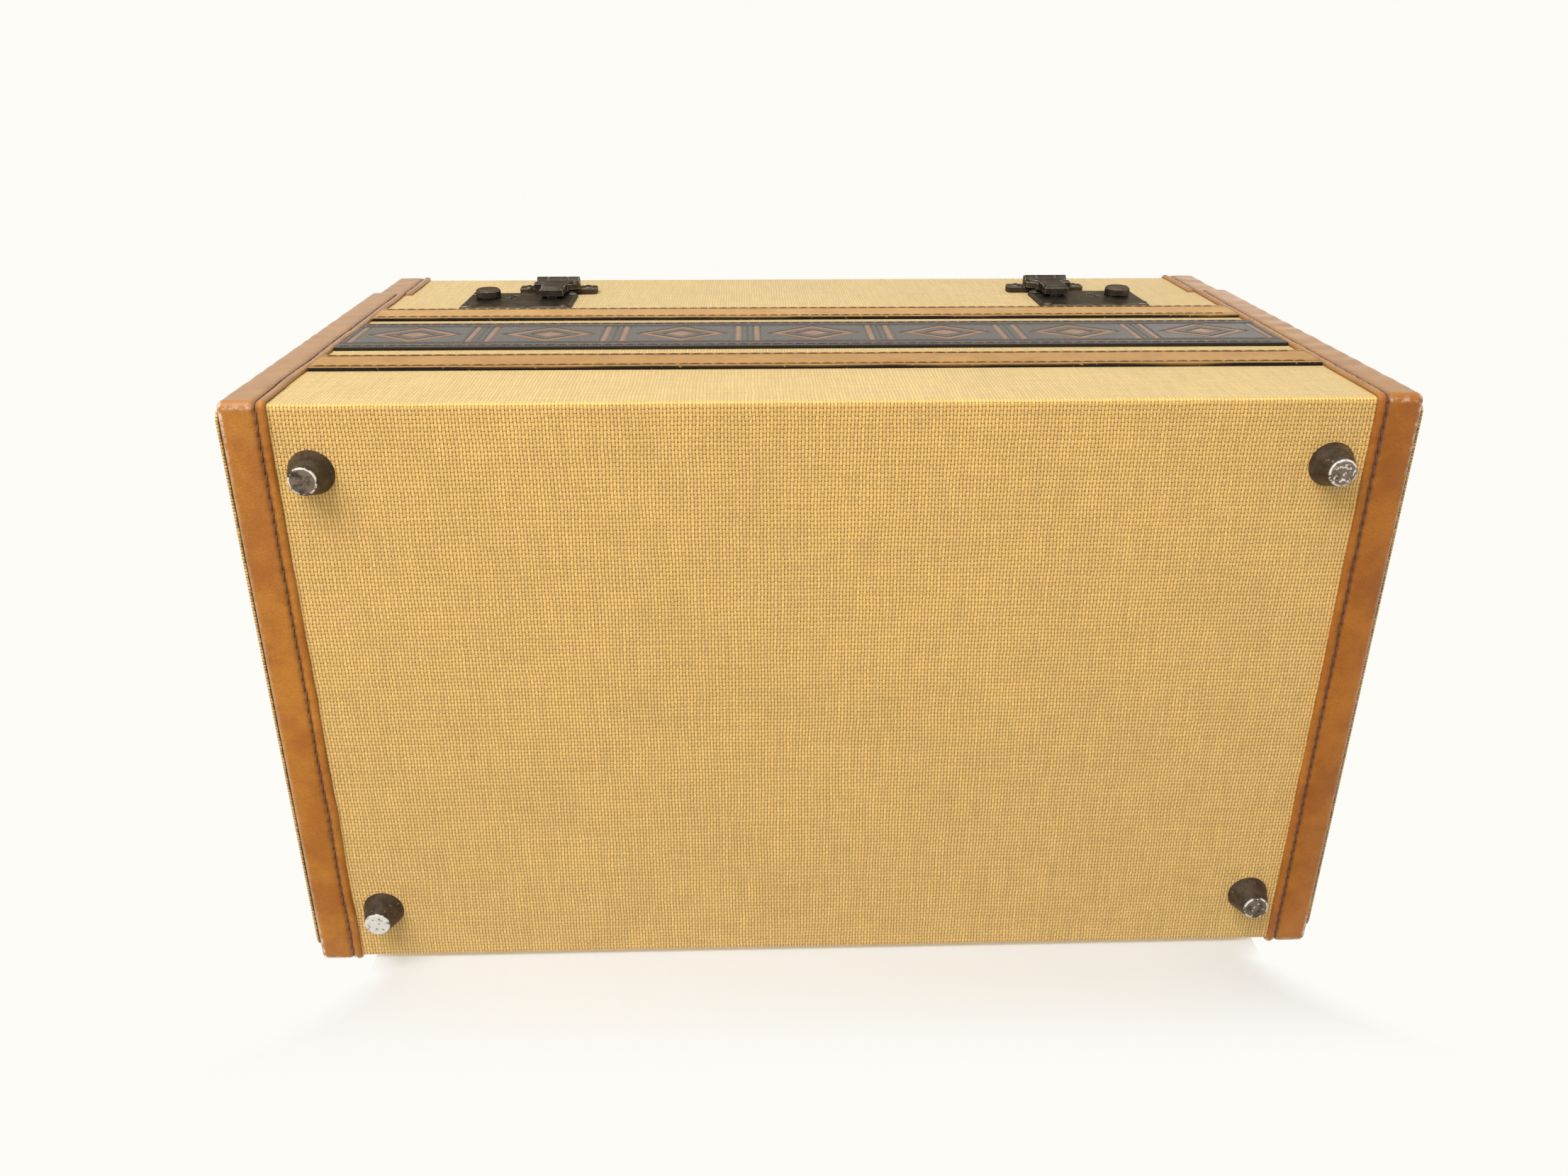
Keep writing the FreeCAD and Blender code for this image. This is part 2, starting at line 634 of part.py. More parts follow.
def hasp():
    """Flap with a stepped shoulder and a thumb nose, a centre knuckle and an eyed catch behind."""
    flap = front_outline(flap_points(0), flap_stand, flap_t)
    tier = front_outline(flap_points(flap_tier_inset), flap_stand, flap_t + flap_tier)
    nose = box(hasp_x - nose_width / 2, hasp_x + nose_width / 2, lid_front_canvas_y - nose_top_stand,
               lid_front_canvas_y - flap_stand, pin_z - nose_drop, pin_z - nose_drop + nose_length)
    face_y = lid_front_canvas_y - nose_top_stand
    nose = nose.makeChamfer(nose_chamfer, [e for e in nose.Edges if lies_at(e, "y", face_y)])
    half = hasp_centre_knuckle / 2
    barrel = rod(hasp_knuckle_r, V(hasp_x - half, hasp_pin_y, pin_z), V(hasp_x + half, hasp_pin_y, pin_z))
    arm = box(hasp_x - half, hasp_x + half, lid_front_canvas_y - flap_stand - flap_t,
              lid_front_canvas_y - flap_stand, pin_z - hasp_knuckle_r - motion_gap - join_lap, pin_z)
    catch_root_y = lid_front_canvas_y - flap_stand - flap_t / 2
    catch = box(hasp_x - catch_width / 2, hasp_x + catch_width / 2, catch_root_y,
                catch_deep_y, catch_z0, catch_z0 + catch_height)
    eye = box(hasp_x - catch_width, hasp_x + catch_width, bolt_front_y - slide_gap,
              bolt_front_y + bolt_t + slide_gap, catch_z0 + catch_wall, catch_z0 + catch_height - catch_wall)
    solid = flap.fuse([tier, nose, barrel, arm, catch.cut(eye)]).removeSplitter()
    pin_line = [V(hasp_x + side * ear_span, hasp_pin_y, pin_z) for side in (-1, 1)]
    return solid.cut(rod(hasp_pin_r + running_gap, pin_line[0], pin_line[1]))


def build_hasps():
    add_pair("hasp_base", hasp_base())
    add_pair("hasp", hasp())
    pin = rod(hasp_pin_r, V(hasp_x - knuckle_end_x, hasp_pin_y, pin_z),
              V(hasp_x + knuckle_end_x, hasp_pin_y, pin_z))
    nodes["hasp_pins"] = Part.makeCompound(both_sides([pin]))
    rivets = [rivet(seat, AWAY_FRONT, ear_t) for seat in ear_rivet_seats]
    nodes["hasp_base_rivets"] = Part.makeCompound(both_sides(rivets))


def hinge_leaf_shape(half, knuckles):
    """One leaf of a back hinge: half is +1 on the lid and -1 on the body."""
    z0, z1 = sorted((hinge_z, hinge_z + half * hinge_leaf))
    leaf = rounded_plate(hinge_x - hinge_width / 2, hinge_x + hinge_width / 2, back_canvas_y,
                         back_canvas_y + hinge_leaf_t, z0, z1, V(0, 1, 0), hinge_corner_r)
    room = rod(hinge_knuckle_r + motion_gap, V(hinge_x - hinge_width, hinge_pin_y, hinge_z),
               V(hinge_x + hinge_width, hinge_pin_y, hinge_z))
    other_half = slab_z(-reach, lid_z) if half > 0 else slab_z(seam_z, reach)
    leaf = leaf.cut([room, other_half])
    web_end = hinge_z + half * (hinge_knuckle_r + 2 * motion_gap + join_lap)
    w0, w1 = sorted((hinge_z, web_end))
    for x0, x1 in knuckles:
        barrel = rod(hinge_knuckle_r, V(x0, hinge_pin_y, hinge_z), V(x1, hinge_pin_y, hinge_z))
        web = box(x0, x1, back_canvas_y, back_canvas_y + hinge_leaf_t, w0, w1).cut(other_half)
        leaf = leaf.fuse([barrel, web])
    return leaf.removeSplitter()


def build_hinges():
    centre = hinge_centre_knuckle / 2
    side = hinge_width / 2
    outer = [(hinge_x - side, hinge_x - centre - motion_gap), (hinge_x + centre + motion_gap, hinge_x + side)]
    inner = [(hinge_x - centre, hinge_x + centre)]
    ends = [V(hinge_x - side, hinge_pin_y, hinge_z), V(hinge_x + side, hinge_pin_y, hinge_z)]
    body_leaf = hinge_leaf_shape(-1, outer).cut(rod(hinge_pin_r + fastener_gap, ends[0], ends[1]))
    lid_leaf = hinge_leaf_shape(1, inner).cut(rod(hinge_pin_r + running_gap, ends[0], ends[1]))
    add_pair("hinge_body_leaf", body_leaf.cut(body_back_holes))
    add_pair("hinge_lid_leaf", lid_leaf.cut(lid_back_holes))
    nodes["hinge_pins"] = Part.makeCompound(both_sides([rod(hinge_pin_r, ends[0], ends[1])]))
    for half, name in ((-1, "hinge_body_rivets"), (1, "hinge_lid_rivets")):
        rivets = [rivet(seat, AWAY_BACK, hinge_leaf_t) for seat in hinge_rivet_seats[half]]
        nodes[name] = Part.makeCompound(both_sides(rivets))


def build_lid_boards():
    boards = lid_wood.common(slab_z(lid_z + lining_t, reach))
    inner_x = lid_end_x - lid_board_t
    front_in = lid_front_canvas_y + canvas_t + lid_board_t
    back_in = back_canvas_y - canvas_t - lid_board_t
    under_z = top_board_z - lid_board_t
    nodes["lid_top_board"] = boards.common(slab_z(under_z, reach)).cut(lid_top_holes)
    rails = boards.common(slab_z(-reach, under_z))
    add_pair("lid_rail", rails.common(slab_x(inner_x, reach)))
    middle = rails.common(slab_x(-inner_x, inner_x))
    front = middle.common(box(-reach, reach, -reach, front_in, -reach, reach))
    nodes["lid_front_rail"] = front.cut(lid_front_holes)
    back = middle.common(box(-reach, reach, back_in, reach, -reach, reach))
    nodes["lid_back_rail"] = back.cut(lid_back_holes)


def build_lid_cover():
    cover_x = lid_end_x - canvas_end_r
    cover = lid_cloth.cut(lid_wood).common(slab_x(-cover_x, cover_x))
    nodes["lid_canvas"] = cover.cut(lid_front_holes + lid_back_holes + lid_top_holes)
    nodes["lid_lining"] = lining_shell(lid_wood, lid_board_t, top_board_z - lid_board_t, lid_z, top_z)


def build_mirror():
    half_x = mirror_width / 2
    half_y = mirror_depth / 2
    glass_z = lid_inner_z - mirror_t
    nodes["mirror"] = box(-half_x, half_x, mid_y - half_y, mid_y + half_y, glass_z, lid_inner_z)
    outer = frame_face - frame_lap
    frame = box(-half_x - outer, half_x + outer, mid_y - half_y - outer, mid_y + half_y + outer,
                lid_inner_z - frame_t, lid_inner_z)
    frame = fillet(frame, frame_edge_r, lambda e: lies_at(e, "z", lid_inner_z - frame_t))
    rebate = box(-half_x - mirror_gap, half_x + mirror_gap, mid_y - half_y - mirror_gap,
                 mid_y + half_y + mirror_gap, glass_z, lid_inner_z + cut_over)
    view = box(-half_x + frame_lap, half_x - frame_lap, mid_y - half_y + frame_lap,
               mid_y + half_y - frame_lap, lid_inner_z - frame_t - cut_over, lid_inner_z)
    nodes["mirror_frame"] = frame.cut([rebate, view])


pivot = V(handle_x, mid_y, top_canvas_z + handle_pin_stand)
handle_tilt = math.degrees(math.asin((grip_half_thick + grip_rest_gap - handle_pin_stand) / grip_reach))


def handle_bracket():
    plate = rounded_plate(handle_x - bracket_length / 2, handle_x + bracket_length / 2,
                          mid_y - bracket_width / 2, mid_y + bracket_width / 2, top_canvas_z,
                          top_canvas_z + bracket_t, UP, bracket_corner_r)
    half = loop_span / 2 - loop_wire_r - motion_gap
    barrel = rod(saddle_r, pivot - V(half, 0, 0), pivot + V(half, 0, 0))
    web = box(handle_x - half, handle_x + half, mid_y - saddle_r, mid_y + saddle_r,
              top_canvas_z, pivot.z)
    bore = rod(loop_wire_r + running_gap, pivot - V(bracket_length, 0, 0), pivot + V(bracket_length, 0, 0))
    return plate.fuse([barrel, web]).removeSplitter().cut([bore] + lid_top_holes)


def handle_loop():
    """Closed ring of round wire, standing up from the pivot."""
    corners = [pivot + V(x, 0, z) for x, z in (
        (-loop_span / 2, 0), (loop_span / 2, 0), (loop_span / 2, loop_reach), (-loop_span / 2, loop_reach))]
    bars = [rod(loop_wire_r, a, b) for a, b in zip(corners, corners[1:] + corners[:1])]
    balls = [Part.makeSphere(loop_wire_r, c) for c in corners]
    return bars[0].fuse(bars[1:] + balls).removeSplitter()


def handle_grip():
    """Flattened leather grip swept along an arch, with an eye at each end for the loops."""
    foot_z = pivot.z + loop_reach + loop_wire_r + motion_gap
    bend_z = pivot.z + grip_reach - grip_bend_r
    top = pivot.z + grip_reach
    inner_x = handle_x - grip_bend_r
    slant = grip_bend_r * math.sqrt(0.5)
    stops = [V(-handle_x, mid_y, foot_z), V(-handle_x, mid_y, bend_z), V(-inner_x, mid_y, top),
             V(inner_x, mid_y, top), V(handle_x, mid_y, bend_z), V(handle_x, mid_y, foot_z)]
    bends = [V(side * (inner_x + slant), mid_y, bend_z + slant) for side in (-1, 1)]
    path = Part.Wire([
        Part.makeLine(stops[0], stops[1]), Part.Arc(stops[1], bends[0], stops[2]).toShape(),
        Part.makeLine(stops[2], stops[3]), Part.Arc(stops[3], bends[1], stops[4]).toShape(),
        Part.makeLine(stops[4], stops[5])])
    oval = Part.Ellipse(stops[0], grip_half_height, grip_half_thick)
    grip = path.makePipeShell([Part.Wire(oval.toShape())], True, False)
    half = loop_span / 2 - loop_wire_r - motion_gap
    for side in (-1, 1):
        bar = V(side * handle_x, mid_y, pivot.z + loop_reach)
        eye = rod(eye_r, bar - V(half, 0, 0), bar + V(half, 0, 0))
        tongue = box(bar.x - half, bar.x + half, mid_y - eye_r, mid_y + eye_r, bar.z, foot_z + join_lap)
        bore = rod(loop_wire_r + fastener_gap, bar - V(loop_span, 0, 0), bar + V(loop_span, 0, 0))
        grip = grip.fuse([eye, tongue]).cut(bore)
    return grip.removeSplitter()


def folded(shape):
    """Lay a piece of the upright handle back on to the lid."""
    laid = shape.copy()
    laid.rotate(pivot, V(1, 0, 0), -(90 - handle_tilt))
    return laid


def build_handle():
    add_pair("handle_bracket", handle_bracket())
    rivets = [rivet(seat, UP, bracket_t) for seat in bracket_rivet_seats]
    nodes["handle_bracket_rivets"] = Part.makeCompound(both_sides(rivets))
    add_pair("handle_loop", folded(handle_loop()))
    nodes["handle_grip"] = folded(handle_grip())


build_body_boards()
build_body_cover()
build_ends()
build_trim()
build_feet()
build_locks()
build_hasps()
build_hinges()
build_lid_boards()
build_lid_cover()
build_mirror()
build_handle()

os.makedirs("parts", exist_ok=True)
for name, shape in nodes.items():
    shape.exportStep("parts/" + name + ".step")
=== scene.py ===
import json
import math

import bmesh
import bpy
import numpy as np
from mathutils import Matrix, Vector, noise

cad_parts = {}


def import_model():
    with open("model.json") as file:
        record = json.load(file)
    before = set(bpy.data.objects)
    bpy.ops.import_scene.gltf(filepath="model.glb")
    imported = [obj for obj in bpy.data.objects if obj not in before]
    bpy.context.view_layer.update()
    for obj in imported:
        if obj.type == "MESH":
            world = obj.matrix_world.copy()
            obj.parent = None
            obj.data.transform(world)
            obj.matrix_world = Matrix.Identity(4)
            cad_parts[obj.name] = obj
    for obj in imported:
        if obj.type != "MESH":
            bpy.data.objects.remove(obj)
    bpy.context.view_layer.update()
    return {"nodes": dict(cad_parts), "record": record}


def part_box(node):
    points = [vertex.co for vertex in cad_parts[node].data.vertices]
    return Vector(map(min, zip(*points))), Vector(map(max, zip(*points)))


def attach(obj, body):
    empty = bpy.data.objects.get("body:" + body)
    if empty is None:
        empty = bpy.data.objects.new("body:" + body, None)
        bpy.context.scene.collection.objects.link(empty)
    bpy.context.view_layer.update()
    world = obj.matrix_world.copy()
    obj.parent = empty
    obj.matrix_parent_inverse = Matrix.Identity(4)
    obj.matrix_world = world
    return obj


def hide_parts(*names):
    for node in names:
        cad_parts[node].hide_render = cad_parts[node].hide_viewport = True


# Looks of a vanity case: woven canvas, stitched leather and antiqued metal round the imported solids.
# Sizes are in millimetres and places come from the frame; MM turns them into metres.

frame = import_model()

MM = 0.001
SEED = 7

# Stitching
STITCH_PITCH = 3.8
STITCH_R = 0.23
STITCH_SLANT = 0.24    # half of a stitch's lean across its seam on the bindings
TRIM_SLANT = 0.12
GRIP_SLANT = 0.16
SEAM_START = 1.2       # first hole from the end of a seam
STITCH_SECTIONS = 7    # sections of a binding for each stitch

# Leather
LEATHER_T = 1.0
BEAD_WIDTH = 2.3       # rolled edge of a binding, inside its stitching
BEAD_HEIGHT = 1.45
SEAM_INSET = 3.0       # stitching to the inner edge of a binding
FOLD_PITCH = 11.0      # soft folds across the front of the bindings
FOLD_DEPTH = 0.16
BINDING_ROUND = 2.2
BINDING_LAP = 2.3      # where a binding's end face gives way to its hidden lap
BINDING_FLANGE = 13.0  # reach of that lap under the end panel
TRIM_SEAM_INSET = 1.9  # stitching to the edge of a strip
TRIM_SEAM_SHORT = 2.0  # how much shorter than its strip a seam is
TRIM_DYE = 0.20        # dyed rim of a strip
STRIP_STEP = 0.8       # between the sections of a strip
BAND_STEP = 0.42       # and of the band, fine enough for its pressed lines
BAND_ROWS = 76         # points across its pressed field
BAND_PRESS = 0.38      # depth of the band's pressed lines
GRIP_HALF_WIDE = 6.5   # half width of the handle's oval section
GRIP_BEND_R = 20.0     # bends of the handle, at the middle of its section
GRIP_END = 9.0         # length at each end of the handle without a seam
GRIP_SEAM_TURN = 0.85  # seam round the oval from the handle's inner edge, in radians

# Cloth
CLOTH_CORNER_R = 1.5
WARP_PITCH = 1.03
WEFT_PITCH = 1.25
WARP_FILL = 0.88       # share of its pitch that a yarn fills
WEFT_FILL = 0.81
WARP_SWING = 0.30      # swing, thickness and lift of the yarns, as shares of the weave's depth
WARP_THICK = 0.36
WARP_LIFT = 0.24
WEFT_SWING = -0.10
WEFT_THICK = 0.32
WEAVE_DEPTH = 0.26
FLOAT_STEEP = 1.8      # how sharply a yarn dips at the ends of its floats
FLOAT_TAPER = 0.80     # how far a float narrows towards its ends
FLOAT_UNEVEN = 0.16    # how far floats differ in height
FRONT_PAINTED_SHEEN = 0.55      # share by which the front's weave loses its painted shade and turns paler, a painted sheen for the light that grazes the front
SLUB = 0.22            # how far yarns differ in tone
LINING_PITCH = 0.88    # twill ribs of the lining
LINING_STRIPE = 15.0   # one satin and one matt stripe of the lining
LINING_CREASE = 1.0    # depth of its creases

# Metal, glass and stage
FOOT_R = 6.9
FOOT_TIP_R = 4.2
MIRROR_BEVEL = 8.0
FLOOR_REACH = 2500
FLOOR_FADE = 420       # from the case to where the floor has the backdrop's colour
BEHIND_FADE = 50       # the same on the surface behind the case
BEHIND_GAP = 0.3
BEHIND_INSET = 16      # the part of that surface that the case hides, in from its ends
BEHIND_RISE = 4
WORLD_LIGHT = 0.42

# Colours, linear
CANVAS_LIGHT = (0.89, 0.550, 0.165, 1)
CANVAS_PAINTED_SHEEN = (0.88, 0.630, 0.205, 1)
CANVAS_PAINTED_SHADE = (0.19, 0.080, 0.006, 1)
CANVAS_CUT = (0.050, 0.024, 0.008, 1)
CANVAS_SHEEN = (0.94, 0.98, 0.92, 1)
TAN = (0.58, 0.222, 0.018, 1)
TAN_DEEP = (0.43, 0.140, 0.010, 1)
RIGHT_TAN_PAINTED_SHADE = (0.49, 0.166, 0.010, 1)
RIGHT_TAN_DEEP_PAINTED_SHADE = (0.35, 0.103, 0.006, 1)
LEATHER_SEAM_SHADE_AND_DYE = (0.075, 0.026, 0.008, 1)
TAN_FACE_SHADE_SHEEN = (0.45, 0.200, 0.030, 1)
TAN_FACE_SHADE_SHEEN_DEEP = (0.35, 0.145, 0.020, 1)
TAN_WORN_AND_HIGHLIGHT = (0.86, 0.72, 0.54, 1)
STRIP = (0.55, 0.294, 0.078, 1)
STRIP_DEEP = (0.455, 0.228, 0.054, 1)
UPPER_STRIP = (0.645, 0.368, 0.116, 1)
UPPER_STRIP_DEEP = (0.54, 0.288, 0.080, 1)
EDGE_DYE = (0.005, 0.0035, 0.002, 1)
SLATE = (0.066, 0.056, 0.044, 1)
SLATE_PALE = (0.125, 0.108, 0.085, 1)
BAND_BROWN = (0.27, 0.140, 0.066, 1)
BAND_BROWN_PALE = (0.33, 0.19, 0.115, 1)
BAND_LINE = (0.030, 0.024, 0.019, 1)
THREAD = (0.115, 0.058, 0.044, 1)
THREAD_PALE = (0.15, 0.075, 0.020, 1)
METAL_DARK = (0.058, 0.050, 0.040, 1)
METAL_MID = (0.112, 0.094, 0.074, 1)
METAL_WORN_AND_HIGHLIGHT = (0.66, 0.61, 0.53, 1)
METAL_GLANCE = (0.46, 0.42, 0.36, 1)
METAL_SPECK = (0.20, 0.14, 0.09, 1)
KNOB_BRONZE = (0.105, 0.076, 0.056, 1)
STEEL = (0.42, 0.42, 0.41, 1)
FOOT_BODY = (0.040, 0.028, 0.018, 1)
FOOT_PALE = (0.086, 0.061, 0.041, 1)
FOOT_PIT = (0.010, 0.007, 0.005, 1)
FOOT_CHIP = (0.46, 0.36, 0.27, 1)
FOOT_FACE = (0.30, 0.225, 0.160, 1)
FOOT_BARE = (0.80, 0.76, 0.68, 1)
LINING_LIGHT = (0.63, 0.50, 0.335, 1)
LINING_DARK = (0.43, 0.32, 0.205, 1)
WOOD_DARK = (0.36, 0.21, 0.10, 1)
WOOD_LIGHT = (0.60, 0.42, 0.24, 1)
MIRROR = (0.70, 0.725, 0.72, 1)
MIRROR_CLOUDED = (0.675, 0.70, 0.695, 1)
MIRROR_SPOT = (0.20, 0.185, 0.15, 1)
FLOOR = (0.775, 0.785, 0.775, 1)
BACKDROP = (0.98, 0.970, 0.930, 1)
SOFT_LIGHT = (1, 0.985, 0.96, 1)


def corners(node):
    """Lowest and highest corner of a CAD node, in millimetres."""
    low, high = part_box(node)
    return np.array(low) / MM, np.array(high) / MM


body_low, body_high = corners("body_canvas")
lid_low, lid_high = corners("lid_canvas")
binding_low, binding_high = corners("right_body_binding")
lid_binding_low, lid_binding_high = corners("right_lid_binding")


class Shader:
    """Node tree of a material or the world, with short calls for the nodes used here."""

    def __init__(self, name, of_world=False):
        kind, library = ("World", bpy.data.worlds) if of_world else ("Material", bpy.data.materials)
        self.owner = library.new(name)
        self.owner.use_nodes = True
        self.tree = self.owner.node_tree
        self.tree.nodes.clear()
        self.output = self.add("ShaderNodeOutput" + kind)

    def add(self, kind, inputs=None, **settings):
        node = self.tree.nodes.new(kind)
        for key, value in settings.items():
            setattr(node, key, value)
        for key, value in (inputs or {}).items():
            self.feed(node.inputs[key], value)
        return node

    def feed(self, socket, value):
        if isinstance(value, bpy.types.NodeSocket):
            self.tree.links.new(value, socket)
        else:
            socket.default_value = value

    def math(self, operation, *values, clamp=False):
        node = self.add("ShaderNodeMath", operation=operation, use_clamp=clamp)
        for socket, value in zip(node.inputs, values):
            self.feed(socket, value)
        return node.outputs[0]

    def mix(self, factor, a, b, blend="MIX"):
        node = self.add("ShaderNodeMix", data_type="RGBA", blend_type=blend)
        for index, value in ((0, factor), (6, a), (7, b)):
            self.feed(node.inputs[index], value)
        return node.outputs[2]

    def hypot(self, a, b):
        return self.math("SQRT", self.math("MULTIPLY_ADD", a, a, self.math("MULTIPLY", b, b)))

    def stray(self, value, noise, amount):
        """Value that strays with a noise round 0.5."""
        return self.math("MULTIPLY_ADD", self.math("SUBTRACT", noise, 0.5), amount, value)

    def shade(self, colour, tone):
        """Colour made lighter or darker by a tone round 1."""
        return self.mix(1.0, colour, self.join(tone, tone, tone), "MULTIPLY")

    def step(self, value, low, high, to_low=0.0, to_high=1.0):
        node = self.add("ShaderNodeMapRange", interpolation_type="SMOOTHSTEP", inputs={
            "Value": value, "From Min": low, "From Max": high, "To Min": to_low, "To Max": to_high})
        return node.outputs[0]

    def noise(self, vector, scale, detail=3.0, rough=0.55):
        node = self.add("ShaderNodeTexNoise", inputs={
            "Vector": vector, "Scale": scale, "Detail": detail, "Roughness": rough})
        return node.outputs[0]

    def cells(self, vector, scale):
        node = self.add("ShaderNodeTexVoronoi", inputs={"Vector": vector, "Scale": scale})
        return node.outputs["Distance"]

    def attribute(self, name):
        return self.add("ShaderNodeAttribute", attribute_name=name).outputs["Fac"]

    def place(self):
        """Place on the piece at rest, in millimetres."""
        coordinate = self.add("ShaderNodeTexCoord").outputs["Object"]
        return self.add("ShaderNodeVectorMath", operation="SCALE",
                        inputs={"Vector": coordinate, "Scale": 1 / MM}).outputs[0]

    def split(self, vector):
        return self.add("ShaderNodeSeparateXYZ", inputs={"Vector": vector}).outputs

    def join(self, x, y, z=0.0):
        return self.add("ShaderNodeCombineXYZ", inputs={"X": x, "Y": y, "Z": z}).outputs[0]

    def bump(self, height, depth, strength=1.0, normal=None):
        """Relief of a height from 0 to 1, its depth in millimetres."""
        inputs = {"Strength": strength, "Distance": depth * MM, "Height": height}
        if normal is not None:
            inputs["Normal"] = normal
        return self.add("ShaderNodeBump", inputs=inputs).outputs[0]

    def bevel(self, radius):
        return self.add("ShaderNodeBevel", samples=6, inputs={"Radius": radius * MM}).outputs[0]

    def edges(self, radius):
        """Mask of convex and concave edges, from how far a rounded normal leaves the true one."""
        true_normal = self.add("ShaderNodeNewGeometry").outputs["Normal"]
        dot = self.add("ShaderNodeVectorMath", operation="DOT_PRODUCT",
                       inputs={0: self.bevel(radius), 1: true_normal}).outputs["Value"]
        return self.math("SUBTRACT", 1.0, dot, clamp=True)

    def seen(self):
        """1 to the camera and in reflections and glass, and 0 to light."""
        path = self.add("ShaderNodeLightPath").outputs
        mirrored = self.math("ADD", path["Is Glossy Ray"], path["Is Transmission Ray"])
        return self.math("ADD", path["Is Camera Ray"], mirrored, clamp=True)

    def blend(self, factor, a, b):
        return self.add("ShaderNodeMixShader", inputs={0: factor, 1: a.outputs[0], 2: b.outputs[0]})

    def done(self, node):
        """Put a node on the surface, and return the material or world."""
        self.feed(self.output.inputs[0], node.outputs[0])
        return self.owner

    def surface(self, **inputs):
        return self.done(self.add("ShaderNodeBsdfPrincipled", inputs={
            key.replace("_", " "): value for key, value in inputs.items()}))


def yarn(shader, off, fill, swing, thick, lift):
    """Height of a yarn of half round section, or far below where its width ends."""
    m = shader.math
    section = m("SUBTRACT", 1.0, m("POWER", m("MULTIPLY", m("ABSOLUTE", off), 2 / fill), 2.0))
    crown = m("MULTIPLY", m("SQRT", m("MAXIMUM", section, 0.0)), thick)
    height = m("ADD", m("ADD", swing, crown), lift + 1.0)
    return m("SUBTRACT", m("MULTIPLY", height, m("GREATER_THAN", section, 0.0)), 1.0)


def yarn_swing(shader, along, number, rise):
    """Swing of a yarn over and under the yarns that cross it: flat floats with steep ends."""
    m = shader.math
    turn = m("COSINE", m("MULTIPLY", number, math.pi))
    wave = m("MULTIPLY", m("MULTIPLY", m("COSINE", m("MULTIPLY", along, math.pi)), turn), FLOAT_STEEP)
    wave = m("MINIMUM", m("MAXIMUM", wave, -1.0), 1.0)
    cube = m("MULTIPLY", wave, m("MULTIPLY", wave, wave))
    return m("SUBTRACT", m("MULTIPLY", 1.5 * rise, wave), m("MULTIPLY", 0.5 * rise, cube))


def weave(shader, u, v):
    """Plain weave: its height, its share of painted light with painted shade in its gaps and low parts, its
    fine strands, and each yarn's own tone.
    """
    m = shader.math
    across = m("DIVIDE", u, WARP_PITCH)
    along = m("DIVIDE", v, WEFT_PITCH)
    column = m("ROUND", across)
    row = m("ROUND", along)
    off_column = m("SUBTRACT", across, column)
    off_row = m("SUBTRACT", along, row)
    taper = m("SUBTRACT", 1.0, m("MULTIPLY", m("MULTIPLY", off_row, off_row), FLOAT_TAPER))
    warp = yarn(shader, m("DIVIDE", off_column, taper), WARP_FILL,
                yarn_swing(shader, along, column, WARP_SWING), WARP_THICK, WARP_LIFT)
    weft = yarn(shader, off_row, WEFT_FILL, yarn_swing(shader, across, row, WEFT_SWING), WEFT_THICK, 0.0)
    cross = shader.add("ShaderNodeTexWhiteNoise", noise_dimensions="2D",
                       inputs={"Vector": shader.join(column, row)}).outputs[0]
    warp = shader.stray(warp, cross, FLOAT_UNEVEN)
    height = m("MAXIMUM", m("MAXIMUM", warp, weft), -0.1)
    # Painted shade: darker between the columns, more at the corners between yarns, and in the low parts of
    # the weave.
    beside = shader.step(m("ABSOLUTE", off_column), 0.26, 0.50)
    corner = m("MULTIPLY", beside, shader.step(m("ABSOLUTE", off_row), 0.22, 0.50))
    unshaded_share = m("SUBTRACT", 1.0, m("ADD", m("MULTIPLY", beside, 0.48), m("MULTIPLY", corner, 0.28)))
    painted_light_share = m("MULTIPLY", shader.step(height, -0.10, 0.42), unshaded_share)
    on_warp = m("GREATER_THAN", warp, weft)
    strands = [shader.noise(shader.join(m("MULTIPLY", u, fine), m("MULTIPLY", v, 1.0 / fine)), 2.4, 2.0)
               for fine in (2.6, 1 / 2.6)]
    tones = [shader.noise(shader.join(m("MULTIPLY", column, 0.83), m("MULTIPLY", v, 0.055)), 1.0, 2.0),
             shader.noise(shader.join(m("MULTIPLY", u, 0.055), m("MULTIPLY", row, 0.83), 9.0), 1.0, 2.0)]
    on_weft = m("SUBTRACT", 1.0, on_warp)
    fibre, tone = (m("ADD", m("MULTIPLY", on_warp, pair[0]), m("MULTIPLY", on_weft, pair[1]))
                   for pair in (strands, tones))
    return height, painted_light_share, fibre, tone


def wrap_coordinate(shader, y, z, low, high, out):
    """Distance round the canvas, over its two rounded edges, so that the weave runs on round them."""
    m = shader.math
    front = low[1] + CLOTH_CORNER_R
    back = high[1] - CLOTH_CORNER_R
    level = low[2] + CLOTH_CORNER_R if out < 0 else high[2] - CLOTH_CORNER_R
    beyond = m("MAXIMUM", m("MULTIPLY", m("SUBTRACT", z, level), out), 0.0)
    inside = m("MAXIMUM", m("MULTIPLY", m("SUBTRACT", z, level), -out), 0.0)
    run = m("SUBTRACT", m("MINIMUM", m("MAXIMUM", y, front), back), front)
    before = m("MAXIMUM", m("SUBTRACT", front, y), 0.0)
    after = m("MAXIMUM", m("SUBTRACT", y, back), 0.0)
    for past, sign in ((before, -1.0), (after, 1.0)):
        turned = m("MULTIPLY", m("ARCTAN2", past, m("MAXIMUM", beyond, 1e-4)), CLOTH_CORNER_R)
        side = m("GREATER_THAN", past, 0.0)
        part = m("MULTIPLY", side, m("ADD", turned, inside))
        run = m("MULTIPLY_ADD", part, sign, run)
    return run


